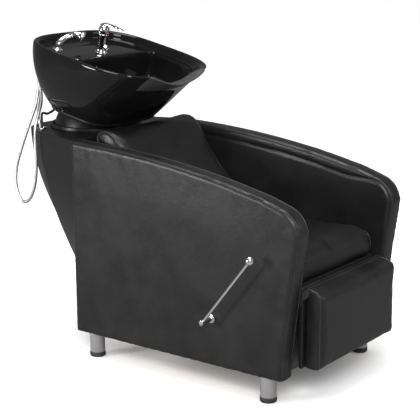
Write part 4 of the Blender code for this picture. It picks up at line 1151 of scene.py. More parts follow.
# ---- rear cabinet --------------------------------------------------------------------
@dataclass
class Cabinet:
    """Rear shell with its collar and grommet.

    Attributes:
        corners: Half of the plan, as distance from the middle and from the panels' rear.
        start: Distance of the panels' rear from the origin.
        low: Height where the shell's curve starts.
        top: Height of the deck.
        curve: Power of the shell's curve.
        wall: Thickness of the shell.
        seat_radius: Radius of the tilt cup's ball.
        pivot: Tilt axis (y, z).
    """

    corners: tuple[tuple[float, float], ...] = ((0.297, 0.0), (0.292, 0.010), (0.224, 0.222), (0.206, 0.252),
                                                (0.164, 0.322), (0.142, 0.341), (0.070, 0.360))
    start: float = 0.8178
    low: float = 0.210
    top: float = 0.7245
    curve: float = 1.9
    wall: float = 0.006
    seat_radius: float = 0.148
    pivot: tuple[float, float] = (0.983, 0.700)

    def ring(self, z: float, wall: float) -> np.ndarray:
        """Plan at a height: the half plan's distances shrink with one minus the curve power of the
        height left, and the mirror closes it.

        Args:
            z: Height.
            wall: Distance moved inwards.

        Returns:
            Evenly spaced points of the loop.
        """
        rise = max(0.0, z - self.low) / (self.top - self.low)
        depth = 1.0 - (1.0 - rise) ** self.curve
        half = [(x - wall * (1.0 if x > 0.1 else 0.3), self.start + max(wall, back * depth - wall))
                for x, back in self.corners]
        plan = np.array(half + [(-x, y) for x, y in reversed(half)])
        loop = rounded(plan, 0.0045, True, 5)
        return np.hstack([loop, np.full((len(loop), 1), z)])

    def build(self) -> list[str]:
        """Build and dress the shell, the collar and the grommet.

        Returns:
            Names of the pieces made.
        """
        lip = self.top - 0.0103
        outer = [self.ring(z, 0.0) for z in np.linspace(self.low + 0.012, lip, 44)]
        inner = [self.ring(z, self.wall) for z in np.linspace(lip, 0.268, 30)]
        put("rear_shell", loft(np.array(outer + inner)), SHELL, Body.CHAIR, ["rear_cabinet"], sharp=32.0)
        hole = self.seat_radius + 0.0012
        collar = [(hole, 0.0003), (hole + 0.0115, 0.0003), (hole + 0.0100, 0.011), (hole + 0.0060, 0.0135),
                  (hole + 0.0010, 0.0125), (hole, 0.011)]
        put("cup_collar", turned(collar, (0.0, self.pivot[0], self.top), (0, 0, 1), 128, 0.0012, True), SHELL,
            Body.CHAIR, ["bowl_collar"])
        grommet = [(0.0135, -0.006), (0.0162, -0.006), (0.0162, 0.0003), (0.0222, 0.0003), (0.0205, 0.0036),
                   (0.0170, 0.0044), (0.0145, 0.0040), (0.0135, 0.0028)]
        put("deck_ring", turned(grommet, (-0.165, 1.088, self.top), (0, 0, 1), 48, 0.0008, True), CHROME,
            Body.CHAIR,
            ["hose_grommet"])
        redress(SHELL, "cabinet_deck")
        redress(ZINC, "tilt_block_left", "tilt_block_right")
        return ["rear_shell", "cup_collar", "deck_ring"]


# ---- bowl ----------------------------------------------------------------------------
BOWL_ORIGIN = np.array((0.0, 0.870, 0.9876))
BOWL_TILT = math.radians(12.54)
BOWL_UP = np.array((0.0, -math.sin(BOWL_TILT), math.cos(BOWL_TILT)))


def from_bowl(spots: np.ndarray | Sequence) -> np.ndarray:
    """Carry points from the bowl's frame to the chair frame: a turn about X and a shift.

    Args:
        spots: Points as (x, v, w).

    Returns:
        The same points in the chair frame.
    """
    spots = np.asarray(spots, float)
    lean, upright = math.sin(BOWL_TILT), math.cos(BOWL_TILT)
    x, v, w = spots[..., 0], spots[..., 1], spots[..., 2]
    return np.stack([x, BOWL_ORIGIN[1] + v * upright - w * lean, BOWL_ORIGIN[2] + v * lean + w * upright],
                    axis=-1)


def in_bowl(shape: Surface) -> Surface:
    """Carry a whole shape from the bowl's frame to the chair frame."""
    return Surface(from_bowl(shape.points), shape.quads, shape.caps, shape.uv)


@dataclass
class Bowl:
    """Glazed bowl, neck rest, base plate, tilt cup and waste.

    Attributes:
        half: Half width at the rim.
        rear: Reach of the rim behind the bowl's origin.
        front: Reach of the rim ahead of it.
        depth: Height of the bowl.
        ledge: Depth of the tap ledge.
        basin_rear: Rear edge of the basin.
        basin_depth: Depth of the basin floor.
        steps: Points round the bowl.
        drain: Place of the waste.
    """

    half: float = 0.250
    rear: float = 0.252
    front: float = 0.284
    depth: float = 0.212
    ledge: float = 0.028
    basin_rear: float = 0.040
    basin_depth: float = 0.198
    steps: int = 224
    drain: tuple[float, float] = (0.0, -0.020)

    def angles(self) -> np.ndarray:
        """Even angles round the bowl."""
        return np.linspace(0.0, 2 * math.pi, self.steps, endpoint=False)

    @staticmethod
    def superellipse(angle: np.ndarray, half: np.ndarray, rear: np.ndarray, front: np.ndarray,
                     rear_power: float,
                     front_power: float) -> np.ndarray:
        """Plan point at an angle: the radius at which the sum of the two shares, each raised to the
        power of its half, is one.

        Args:
            angle: Angles.
            half: Half width.
            rear: Reach behind.
            front: Reach ahead.
            rear_power: Roundness behind.
            front_power: Roundness ahead.

        Returns:
            The (x, v) points.
        """
        across, along = np.cos(angle), np.sin(angle)
        power = np.where(along > 0.0, rear_power, front_power)
        reach = (np.abs(across) ** power + np.abs(along) ** power) ** (-1.0 / power)
        return np.stack([half * reach * across, np.where(along > 0.0, rear, front) * reach * along], axis=-1)

    def outline(self, angle: np.ndarray, depth: np.ndarray, shrink: np.ndarray) -> np.ndarray:
        """Outside of the bowl at depths below the rim, moved inwards by shrink."""
        share = np.maximum(depth, 0.0) / self.depth
        keep = 1.0 - 0.28 * share ** 2.15
        return self.superellipse(angle, self.half * keep - shrink, self.rear * keep - shrink,
                                 self.front * (1.0 - 0.60 * share ** 0.85) - shrink, 3.4, 3.3)

    @staticmethod
    def dip(plan: np.ndarray) -> np.ndarray:
        """How far the front lip dips: a hump across the neck, times a rise towards the front edge."""
        near = np.clip((-plan[..., 1] - 0.14) / 0.11, 0.0, 1.0)
        across = np.clip(1.0 - (plan[..., 0] / 0.145) ** 2, 0.0, 1.0)
        return 0.034 * across ** 1.3 * near

    def skin(self, angle: np.ndarray, depth: np.ndarray, shrink: np.ndarray) -> np.ndarray:
        """Points on the skin, lowered by the neck dip, which fades out below the rim."""
        plan = self.outline(angle, depth, shrink)
        fade = np.clip(1.0 - depth / 0.09, 0.0, 1.08)
        return np.concatenate([plan, (-depth - fade * self.dip(plan))[..., None]], axis=-1)

    def basin_plan(self, angle: np.ndarray, depth: float, grow: float) -> np.ndarray:
        """Basin outline at a depth, moved outwards by grow."""
        share = depth / self.basin_depth
        wall = 0.026 - 0.010 * min(1.0, max(0.0, (depth - 0.050) / 0.070)) - grow
        keep = 1.0 - 0.28 * (depth / self.depth) ** 2.15
        ahead = self.front * (1.0 - 0.60 * (depth / self.depth) ** 0.85)
        narrow = 1.0 - 0.35 * share ** 6
        return self.superellipse(angle, (self.half * keep - wall) * narrow,
                                 self.basin_rear * (1.0 - 0.35 * share) + grow,
                                 (ahead - wall) * narrow, 5.0, 2.9)

    def shell(self) -> Surface:
        """Closed glazed body: up the outside, over the rim, across the ledge, down the basin, over
        the floor to the waste hole and down through it.

        Returns:
            The shape in the bowl's frame.
        """
        angle = self.angles()
        line = flowing([(0.0, 0.212), (0.0, 0.190), (0.0, 0.160), (0.0, 0.125), (0.0, 0.090), (0.0, 0.055),
                        (0.0, 0.026),
                        (0.0, 0.012), (0.0012, 0.0035), (0.0055, 0.0), (0.0110, 0.0), (0.0160, 0.0040),
                        (0.0188, 0.0120), (0.0203, 0.0200), (0.0225, 0.0262), (0.0255, 0.0280)], 70)
        rings = [self.skin(angle, np.full(self.steps, d), np.full(self.steps, s)) for s, d in line]
        last = rings[-1]
        level = last[:, 2]
        brim = self.basin_plan(angle, self.ledge, 0.0)
        for share, grow, drop in ((0.30, 0.0, 0.0), (0.70, 0.0, 0.0), (1.0, 0.0075, 0.0),
                                  (1.0, 0.0040, 0.0006),
                                  (1.0, 0.0015, 0.0024), (1.0, 0.0, 0.0055)):
            inner = self.basin_plan(angle, self.ledge, grow) if share == 1.0 else brim
            plan = last[:, :2] + share * (inner - last[:, :2])
            rings.append(np.column_stack([plan, level - drop]))
        for depth in (0.045, 0.060, 0.080, 0.100, 0.120, 0.140, 0.155, 0.168, 0.179, 0.187, 0.193, 0.1965,
                      0.198):
            share = (depth - self.ledge - 0.0055) / (self.basin_depth - self.ledge - 0.0055)
            height = (level - 0.0055) * (1 - share) - self.basin_depth * share
            rings.append(np.column_stack([self.basin_plan(angle, depth, 0.0), height]))
        for radius, height in ((0.090, -0.1981), (0.045, -0.1984), (0.0300, -0.1985), (0.0245, -0.1988),
                               (0.0237, -0.2000),
                               (0.0237, -0.2119)):
            circle = np.stack([self.drain[0] + radius * np.cos(angle),
                               self.drain[1] + radius * np.sin(angle)], 1)
            rings.append(np.column_stack([circle, np.full(self.steps, height)]))
        return loft(np.array(rings), closed=True)

    def hollow(self) -> Surface:
        """Space for the plumbing behind the basin: the part of the plan behind a cross wall."""
        fine = np.linspace(0.0, 2 * math.pi, 720, endpoint=False)
        wall = self.basin_rear + 0.016
        rings = []
        for depth in (self.ledge + 0.013, 0.080, 0.115, 0.150, 0.185, 0.222):
            plan = self.outline(fine, np.full(720, min(depth, self.depth)), np.full(720, 0.012))
            arc = plan[plan[:, 1] > wall]
            arc = evenly(np.vstack([(arc[0, 0], wall), arc, (arc[-1, 0], wall)]), 61)
            rings.append(np.column_stack([arc, np.full(len(arc), -depth)]))
        return loft(np.array(rings))

    def opening(self) -> Surface:
        """Rounded slot in the rear wall."""
        frame = evenly(rounded([(-0.135, -0.158), (0.135, -0.158), (0.135, -0.085), (-0.135, -0.085)], 0.022,
                               True, 8),
                       72, True)
        rings = [np.stack([frame[:, 0], np.full(72, v), frame[:, 1]], axis=1)
                 for v in (self.rear - 0.10, self.rear + 0.05)]
        return loft(np.array(rings))

    def saddle(self) -> Surface:
        """Neck rest over the front lip: an inner line that follows the skin and an outer line over it,
        whose distance fades to a thin edge at both ends.

        Returns:
            The shape in the bowl's frame.
        """
        outer = flowing([(-0.0016, 0.0600), (-0.0046, 0.0570), (-0.0056, 0.0500), (-0.0056, 0.0300),
                         (-0.0052, 0.0110),
                         (-0.0028, 0.0005), (0.0040, -0.0042), (0.0130, -0.0046), (0.0200, -0.0015),
                         (0.0248, 0.0070),
                         (0.0266, 0.0165), (0.0262, 0.0215)], 34)
        inner = flowing([(-0.0008, 0.0600), (-0.0008, 0.0500), (-0.0008, 0.0300), (-0.0008, 0.0120),
                         (0.0004, 0.0030),
                         (0.0053, -0.0008), (0.0112, -0.0008), (0.0166, 0.0035), (0.0196, 0.0118),
                         (0.0212, 0.0195)], 34)
        angle = np.linspace(math.radians(238.0), math.radians(302.0), 61)
        middle = 1.0 - np.abs(np.linspace(-1.0, 1.0, 61))
        full = 0.12 + 0.88 * np.sqrt(smoothstep(middle, 0.0, 0.16))
        loop = np.vstack([outer, inner[::-1]])
        base = np.vstack([inner, inner[::-1]])
        section = base[None] + full[:, None, None] * (loop - base)[None]
        turn = np.broadcast_to(angle[:, None], section.shape[:2])
        return loft(self.skin(turn, section[..., 1], section[..., 0]))

    def plate(self) -> Surface:
        """Dark base under the bowl, a ring from its outer edge to the hole for the waste."""
        angle = self.angles()
        rings = []
        hole = np.stack([self.drain[0] + 0.028 * np.cos(angle), self.drain[1] + 0.028 * np.sin(angle)],
                        axis=1)
        rings.append(np.column_stack([hole, np.full(self.steps, -0.226)]))
        for shrink, depth in ((0.014, 0.226), (0.0085, 0.2252), (0.0058, 0.2225), (0.0050, 0.219),
                              (0.0050, 0.2145),
                              (0.0058, 0.2130), (0.0075, 0.2123)):
            plan = self.outline(angle, np.full(self.steps, self.depth), np.full(self.steps, shrink))
            rings.append(np.column_stack([plan, np.full(self.steps, -depth)]))
        rings.append(np.column_stack([hole, np.full(self.steps, -0.2123)]))
        return loft(np.array(rings), closed=True)

    def cup(self, pivot: tuple[float, float]) -> Surface:
        """Ball-shaped cup under the base plate with its two side pins."""
        centre = np.array((0.0, *pivot))
        local = (centre - BOWL_ORIGIN) @ BOWL_UP
        top = -0.2263 - local
        outer = [(math.sqrt(0.148 ** 2 - h * h), h) for h in np.linspace(top, -0.052, 24)]
        inner = [(math.sqrt(0.141 ** 2 - h * h), h) for h in np.linspace(-0.052, top - 0.008, 16)]
        profile = (outer + inner + [(0.098, top - 0.008), (0.098, top)])[::-1]
        shape = turned(profile, centre, BOWL_UP, 144, 0.0006, True).outward()
        for sign in (-1.0, 1.0):
            pin = turned([(0.001, 0.142), (0.0070, 0.142), (0.0070, 0.172), (0.001, 0.172)], centre,
                         (sign, 0, 0), 32)
            shape = shape.plus(pin.outward())
        return shape

    def build(self) -> list[str]:
        """Build and dress the bowl and what carries it.

        Returns:
            Names of the pieces made.
        """
        piece = put("glazed_bowl", in_bowl(self.shell()), GLAZE, Body.BOWL, ["bowl"], ride=False)
        carve(piece, in_bowl(self.hollow()), in_bowl(self.opening()))
        dress(piece, GLAZE, 35.0)
        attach(piece, Body.BOWL.value)
        rest = put("neck_saddle", in_bowl(self.saddle()), SILICONE, Body.BOWL, ["neck_rest"], sharp=60.0)
        put("bowl_base", in_bowl(self.plate()), MOULDED, Body.BOWL, ["base_plate"])
        put("swivel_cup", self.cup((0.983, 0.700)), MOULDED, Body.BOWL, ["tilt_cup"], sharp=50.0)
        centre = from_bowl((*self.drain, -self.basin_depth))
        flange = [(0.0195, -0.052), (0.0225, -0.052), (0.0225, 0.0003), (0.034, 0.0003), (0.033, 0.0022),
                  (0.026, 0.0032),
                  (0.0235, 0.0015), (0.0195, -0.006)]
        put("waste_ring", turned(flange, centre, BOWL_UP, 64, 0.0007, True), CHROME, Body.BOWL,
            ["drain_flange"])
        tail = [(0.0165, -0.1423), (0.0200, -0.1423), (0.0200, -0.0743), (0.0270, -0.0723), (0.0270, -0.0523),
                (0.0195, -0.0523), (0.0165, -0.0643)]
        put("waste_pipe", turned(tail, centre, BOWL_UP, 48, 0.0010, True), MOULDED, Body.BOWL,
            ["drain_tailpiece"])
        basket = [(0.002, -0.020), (0.012, -0.019), (0.0165, -0.008), (0.0215, 0.0020), (0.0228, 0.0036),
                  (0.019, 0.0072),
                  (0.008, 0.0088), (0.0045, 0.0105), (0.0040, 0.0135), (0.0056, 0.0150), (0.0046, 0.0162),
                  (0.001, 0.0164)]
        put("hair_strainer", turned(basket, centre, BOWL_UP, 48, 0.0008), ZINC, Body.STRAINER, ["strainer"])
        return ["glazed_bowl", "neck_saddle", "bowl_base", "swivel_cup", "waste_ring", "waste_pipe",
                "hair_strainer"]


# ---- tap and hand shower ---------------------------------------------------------------
@dataclass
class Tap:
    """Single-lever tap on the ledge.

    Attributes:
        spot: Place on the ledge.
        ledge: Height of the ledge in the bowl's frame.
        body_top: Height of the body's top.
        cap_radius: Radius of the turning cap.
        cap_centre: Height of the cap's dome centre.
        blade: Lever stations as reach, top, thickness and half width.
    """

    spot: tuple[float, float] = (0.0, 0.077)
    ledge: float = -0.028
    body_top: float = 0.0405
    cap_radius: float = 0.0190
    cap_centre: float = 0.0540
    blade: tuple[tuple[float, ...], ...] = (
        (-0.0165, 0.0150, 0.0022, 0.0060), (-0.0120, 0.0200, 0.0060, 0.0085),
                                            (-0.0040, 0.0235, 0.0120, 0.0105),
        (0.0060, 0.0250, 0.0120, 0.0110), (0.0140, 0.0254, 0.0110, 0.0105), (0.0260, 0.0256, 0.0075, 0.0092),
        (0.0420, 0.0254, 0.0058, 0.0080), (0.0600, 0.0240, 0.0050, 0.0072), (0.0740, 0.0222, 0.0044, 0.0068),
        (0.0810, 0.0208, 0.0036, 0.0058), (0.0840, 0.0198, 0.0022, 0.0036))

    def foot(self, height: float) -> np.ndarray:
        """Point of the tap's axis at a height, in the chair frame."""
        return from_bowl((*self.spot, height))

    def lever(self) -> Surface:
        """Lever: at each station a superellipse of power 3.2, with the stations on smooth lines."""
        rows = flowing(self.blade, 64)
        angle = np.linspace(0.0, 2 * math.pi, 32, endpoint=False)
        across = np.sign(np.cos(angle)) * np.abs(np.cos(angle)) ** (2 / 3.2)
        over = np.sign(np.sin(angle)) * np.abs(np.sin(angle)) ** (2 / 2.6)
        reach, top, thick, half = (rows[:, k, None] for k in range(4))
        x = self.spot[0] + half * across
        v = np.broadcast_to(self.spot[1] - reach, x.shape)
        w = self.cap_centre + top - 0.5 * thick + 0.5 * thick * over
        return loft(np.stack([x, v, w], axis=-1))

    def build(self) -> list[str]:
        """Build and dress the tap.

        Returns:
            Names of the pieces made.
        """
        low = self.ledge
        body = [(0.004, low - 0.038), (0.0150, low - 0.038), (0.0150, low + 0.0003), (0.0240, low + 0.0003),
                (0.0240, low + 0.0040), (0.0215, low + 0.0066), (0.0186, low + 0.0120), (0.0174, low + 0.022),
                (0.0174, low + 0.048), (0.0179, low + 0.060), (0.0186, self.body_top - 0.004),
                (0.0186, self.body_top - 0.0006), (0.004, self.body_top)]
        shape = turned(body, self.foot(0.0), BOWL_UP, 72, 0.0016).outward()
        aim = from_bowl((0.0, -0.94, -0.34)) - from_bowl((0.0, 0.0, 0.0))
        nozzle = [(0.001, 0.0), (0.0088, 0.0), (0.0088, 0.0120), (0.0082, 0.0126), (0.0082, 0.0142),
                  (0.0074, 0.0156),
                  (0.0060, 0.0156), (0.0058, 0.0140), (0.001, 0.0140)]
        spout = turned(nozzle, from_bowl((self.spot[0], self.spot[1] - 0.010, 0.0)), aim, 40,
                       0.0004).outward()
        put("tap_column", shape.plus(spout), CHROME, Body.BOWL, ["tap_body"])
        angle = np.linspace(0.0, 2 * math.pi, 96, endpoint=False)
        flat = 0.0172 / np.cos((angle + math.pi / 6) % (math.pi / 3) - math.pi / 6)
        plan = np.stack([np.cos(angle), np.sin(angle)], axis=1)
        rings = [np.column_stack([plan * size[:, None], np.full(96, h)]) for size, h in (
            (np.full(96, 0.0155), 0.0), (np.minimum(flat, 0.0188), 0.0), (flat, 0.0008), (flat, 0.0087),
            (np.minimum(flat, 0.0188), 0.0095), (np.full(96, 0.0155), 0.0095))]
        nut = loft(np.array(rings), closed=True)
        nut.points = from_bowl(nut.points + (*self.spot, low - 0.0228))
        put("hex_nut", nut, BRASS, Body.BOWL, ["tap_nut"], sharp=25.0)
        dome = [(0.003, self.body_top + 0.0003), (self.cap_radius - 0.0012, self.body_top + 0.0003),
                (self.cap_radius, self.body_top + 0.0015), (self.cap_radius, self.cap_centre)]
        dome += [(self.cap_radius * math.cos(a), self.cap_centre + self.cap_radius * math.sin(a))
                 for a in np.radians(np.linspace(6.0, 88.0, 18))]
        put("tap_dome", turned(dome, self.foot(0.0), BOWL_UP, 72, 0.0006), CHROME, Body.TAP_HEAD, ["tap_cap"],
            sharp=50.0)
        disc = [(0.0004, 0.0), (0.0036, 0.0), (0.0036, 0.0007), (0.0026, 0.0014), (0.0004, 0.0016)]
        front = from_bowl((self.spot[0], self.spot[1] - self.cap_radius - 0.0003, self.body_top + 0.0062))
        put("heat_marker", turned(disc, front, from_bowl((0, -1, 0)) - from_bowl((0, 0, 0)), 32, 0.0003),
            ENAMEL,
            Body.TAP_HEAD, ["tap_marker"])
        put("tap_blade", in_bowl(self.lever()), CHROME, Body.TAP_HANDLE, ["tap_lever"], sharp=70.0)
        return ["tap_column", "hex_nut", "tap_dome", "heat_marker", "tap_blade"]


@dataclass
class HandShower:
    """Pull-out hand shower in its guide tube.

    Attributes:
        spot: Place on the ledge.
        ledge: Height of the ledge in the bowl's frame.
        aim: Direction of the spray in the bowl's frame.
        path: Centre line from the shank to the head.
        radii: Radius at each point of the path.
    """

    spot: tuple[float, float] = (-0.125, 0.165)
    ledge: float = -0.028
    aim: tuple[float, float, float] = (0.62, -0.70, -0.35)
    path: tuple[tuple[float, float, float], ...] = (
        (0.0, 0.0, -0.0450), (0.0, 0.0, -0.0297), (0.0, 0.0, -0.0290), (0.0, 0.0, 0.0072),
                                                    (0.0005, 0.0, 0.0088),
        (0.0040, -0.0005, 0.0190), (0.0170, -0.0020, 0.0310), (0.0350, -0.0045, 0.0400),
                                                    (0.0530, -0.0075, 0.0470),
        (0.0670, -0.0120, 0.0500), (0.0760, -0.0195, 0.0485))
    radii: tuple[float, ...] = (0.0055, 0.0055, 0.0085, 0.0085, 0.0105, 0.0112, 0.0112, 0.0108, 0.0098,
                                0.0100, 0.0125)

    def build(self) -> list[str]:
        """Build and dress the guide tube, the shower and its spray face.

        Returns:
            Names of the pieces made.
        """
        low = self.ledge
        guide = [(0.0093, low - 0.047), (0.0121, low - 0.047), (0.0121, low + 0.0003), (0.0190, low + 0.0003),
                 (0.0184, low + 0.0026), (0.0150, low + 0.0042), (0.0125, low + 0.0052),
                 (0.0102, low + 0.0050),
                 (0.0093, low + 0.0040)]
        put("guide_tube", turned(guide, from_bowl((*self.spot, 0.0)), BOWL_UP, 56, 0.0007, True), CHROME,
            Body.BOWL,
            ["spray_holder"])
        aim = np.array(self.aim) / np.linalg.norm(self.aim)
        path = np.array(self.path)
        head = path[-1] + np.outer((0.007, 0.012, 0.017, 0.0192), aim)
        rows = np.column_stack([np.vstack([path, head]),
                                np.array([*self.radii, 0.0180, 0.0195, 0.0194, 0.0184])])
        fine = flowing(rows[4:], 90)
        fine = np.vstack([rows[:4], fine])
        centre = fine[:, :3] + (*self.spot, self.ledge)
        put("shower_grip", tube(from_bowl(centre), fine[:, 3], 40), CHROME, Body.SHOWER, ["hand_shower"],
            sharp=50.0)
        tip = from_bowl(path[-1] + aim * 0.0194 + (*self.spot, self.ledge))
        ahead = from_bowl(aim) - from_bowl((0.0, 0.0, 0.0))
        face = [(0.0006, 0.0), (0.0166, 0.0), (0.0166, 0.0010), (0.0154, 0.0018), (0.0110, 0.0014),
                (0.0006, 0.0012)]
        shape = turned(face, tip, ahead, 48, 0.0004).outward()
        side = np.cross(ahead, (0.0, 0.0, 1.0))
        side /= np.linalg.norm(side)
        other = np.cross(ahead, side)
        for radius, count in ((0.0045, 6), (0.0090, 12), (0.0132, 18)):
            for angle in np.linspace(0.0, 2 * math.pi, count, endpoint=False):
                spot = tip + radius * (math.cos(angle) * side + math.sin(angle) * other) + 0.0010 * ahead
                nub = turned([(0.0001, 0.0), (0.0008, 0.0), (0.0006, 0.0014), (0.0001, 0.0015)], spot, ahead,
                             8, 0.0)
                shape = shape.plus(nub.outward())
        put("spray_plate", shape, RUBBER, Body.SHOWER, ["spray_face"])
        return ["guide_tube", "shower_grip", "spray_plate"]


# ---- hoses ---------------------------------------------------------------------------
@dataclass(frozen=True)
class Hose:
    """One hose.

    Attributes:
        name: Name of the piece.
        node: CAD node that it stands for.
        diameter: Outer diameter.
        length: Length along its middle; not used.
        finish: Its finish.
        stiffness: How stiff it is; not used.
        lay: How it lies; not used.
        start: First part of the route, in the bowl's frame.
        outside: Middle part, in the chair frame.
        end: Last part, in the bowl's frame.
        rib: Pitch of the ribs, or 0 for a smooth hose.
    """

    name: str
    node: str
    diameter: float
    length: float
    finish: Finish
    stiffness: str
    lay: str
    start: tuple[tuple[float, float, float], ...]
    outside: tuple[tuple[float, float, float], ...]
    end: tuple[tuple[float, float, float], ...]
    rib: float = 0.0

    def route(self) -> np.ndarray:
        """Corners of the route in the chair frame."""
        parts = [from_bowl(self.start) if self.start else np.zeros((0, 3)), np.array(self.outside),
                 from_bowl(self.end)]
        return np.vstack(parts)

    def build(self) -> str:
        """Returns:
            Name of the piece.
        """
        spacing = self.rib / 5.0 if self.rib else 0.0040
        rough = flowing(self.route(), 2000)
        length = float(np.linalg.norm(np.diff(rough, axis=0), axis=1).sum())
        path = flowing(self.route(), int(length / spacing))
        radius = np.full(len(path), 0.5 * self.diameter)
        if self.rib:
            run = np.linspace(0.0, length, len(path))
            radius = radius - 0.00055 * (0.5 - 0.5 * np.cos(2 * math.pi * run / self.rib))
        piece = put(self.name, tube(path, radius, 14), self.finish, Body.BOWL, [self.node], sharp=60.0)
        line = path[::max(1, len(path) // 500)]
        line = np.vstack([line, path[-1:]]) + UNIT_SHIFT
        LOG.info("%s is %.3f m long", self.name, length)
        return self.name


HOSES = (
    Hose("chrome_hose", "shower_hose", 0.0115, 1.334, HOSE_CHROME, "medium", "hanging",
         ((-0.125, 0.165, -0.0758), (-0.125, 0.1665, -0.095), (-0.125, 0.176, -0.114),
          (-0.126, 0.196, -0.126)),
         ((-0.130, 1.120, 0.893), (-0.134, 1.122, 0.872), (-0.140, 1.108, 0.846), (-0.165, 1.085, 0.812),
          (-0.203, 1.060, 0.785), (-0.232, 1.048, 0.744), (-0.234, 1.051, 0.691), (-0.232, 1.053, 0.602),
          (-0.228, 1.068, 0.535), (-0.222, 1.097, 0.487), (-0.214, 1.133, 0.466), (-0.205, 1.165, 0.475),
          (-0.195, 1.193, 0.518), (-0.188, 1.194, 0.579), (-0.180, 1.175, 0.645), (-0.160, 1.150, 0.735),
          (-0.130, 1.148, 0.792), (-0.105, 1.158, 0.837), (-0.092, 1.158, 0.868), (-0.085, 1.140, 0.893)),
         ((-0.080, 0.190, -0.118), (-0.045, 0.140, -0.111), (-0.013, 0.102, -0.098), (0.0, 0.0855, -0.082),
          (0.0, 0.0845, -0.0672)), 0.0040),
    Hose("braided_hose", "supply_hose_hot", 0.0085, 0.520, WIRE_BRAID, "medium", "loose", (),
         ((-0.1696, 1.088, 0.640), (-0.1696, 1.088, 0.700), (-0.1696, 1.088, 0.735), (-0.1685, 1.095, 0.757),
          (-0.160, 1.107, 0.782), (-0.146, 1.118, 0.804), (-0.124, 1.131, 0.831), (-0.104, 1.137, 0.853),
          (-0.081, 1.142, 0.877), (-0.063, 1.133, 0.894)),
         ((-0.045, 0.195, -0.140), (-0.025, 0.140, -0.136), (-0.010, 0.088, -0.112),
          (-0.0065, 0.0715, -0.086),
          (-0.0065, 0.0715, -0.0672))),
    Hose("rubber_hose", "supply_hose_cold", 0.0085, 0.544, RUBBER, "medium", "loose", (),
         ((-0.1604, 1.088, 0.640), (-0.1604, 1.088, 0.700), (-0.1604, 1.088, 0.735), (-0.1555, 1.094, 0.757),
          (-0.147, 1.101, 0.770), (-0.133, 1.106, 0.772), (-0.115, 1.108, 0.767), (-0.096, 1.106, 0.771),
          (-0.080, 1.105, 0.780), (-0.065, 1.110, 0.802), (-0.052, 1.122, 0.840), (-0.040, 1.132, 0.875),
          (-0.029, 1.122, 0.896)),
         ((-0.012, 0.195, -0.140), (0.000, 0.140, -0.136), (0.008, 0.086, -0.110), (0.0065, 0.0715, -0.086),
          (0.0065, 0.0715, -0.0672))),
)


# ---- hand lever ------------------------------------------------------------------------
@dataclass
class HandLever:
    """Chrome lever on the chair's right side that raises the leg rest.

    Attributes:
        axis: Shaft axis (y, z).
        plane: X of the rod.
        reach: From the shaft to the middle of the knob (y, z).
        shaft_radius: Radius of the shaft.
        rod_radius: Radius of the rod.
        knob_radius: Radius of the knob.
        panel_face: X of the panel's outer face.
    """

    axis: tuple[float, float] = (0.249, 0.236)
    plane: float = -0.355
    reach: tuple[float, float] = (-0.174, 0.220)
    shaft_radius: float = 0.008
    rod_radius: float = 0.0045
    knob_radius: float = 0.0140
    panel_face: float = -0.310

    def build(self) -> list[str]:
        """Build and dress the shaft, collar, rod and knob, and dress the crank and bearings.

        Returns:
            Names of the pieces made.
        """
        centre = np.array((0.0, *self.axis))
        end = self.plane - 0.010
        shaft = [(0.001, end), (self.shaft_radius - 0.0012, end), (self.shaft_radius, end + 0.0012),
                 (self.shaft_radius, 0.2885), (0.001, 0.2885)]
        put("lever_axle", turned(shaft, centre, (1, 0, 0), 48, 0.0006), CHROME, Body.LEVER, ["lever_shaft"])
        face = self.panel_face - 0.0003
        collar = [(0.0083, face), (0.0145, face), (0.0145, face - 0.0040), (0.0132, face - 0.0062),
                  (0.0083, face - 0.0062)]
        put("lever_rosette", turned(collar, centre, (1, 0, 0), 56, 0.0009, True), CHROME, Body.LEVER,
            ["lever_collar"])
        run = np.array((0.0, *self.reach))
        length = float(np.linalg.norm(run))
        start = np.array((self.plane, *self.axis)) - run / length * 0.014
        rod = [(0.0008, 0.0), (self.rod_radius - 0.0008, 0.0), (self.rod_radius, 0.0010),
               (self.rod_radius, 0.012 + length), (0.0008, 0.012 + length)]
        put("lever_bar", turned(rod, start, run, 40, 0.0006), CHROME, Body.LEVER, ["lever_rod"])
        knob = [(self.knob_radius * math.cos(a), self.knob_radius * math.sin(a))
                for a in np.radians(np.linspace(-87.0, 87.0, 40))]
        put("lever_knob", turned(knob, np.array((self.plane, *self.axis)) + run, run, 56, 0.0), CHROME,
            Body.LEVER,
            ["lever_ball"], sharp=60.0)
        redress(ZINC, "crank_arm", "link_bar")
        # Painted shade: the pivot plates are coloured black for the shadow in the gap behind the leg rest.
        redress(SHADED_STEEL, "pivot_plate_left", "pivot_plate_right")
        redress(MOULDED, "bearing_left", "bearing_right")
        return ["lever_axle", "lever_rosette", "lever_bar", "lever_knob"]


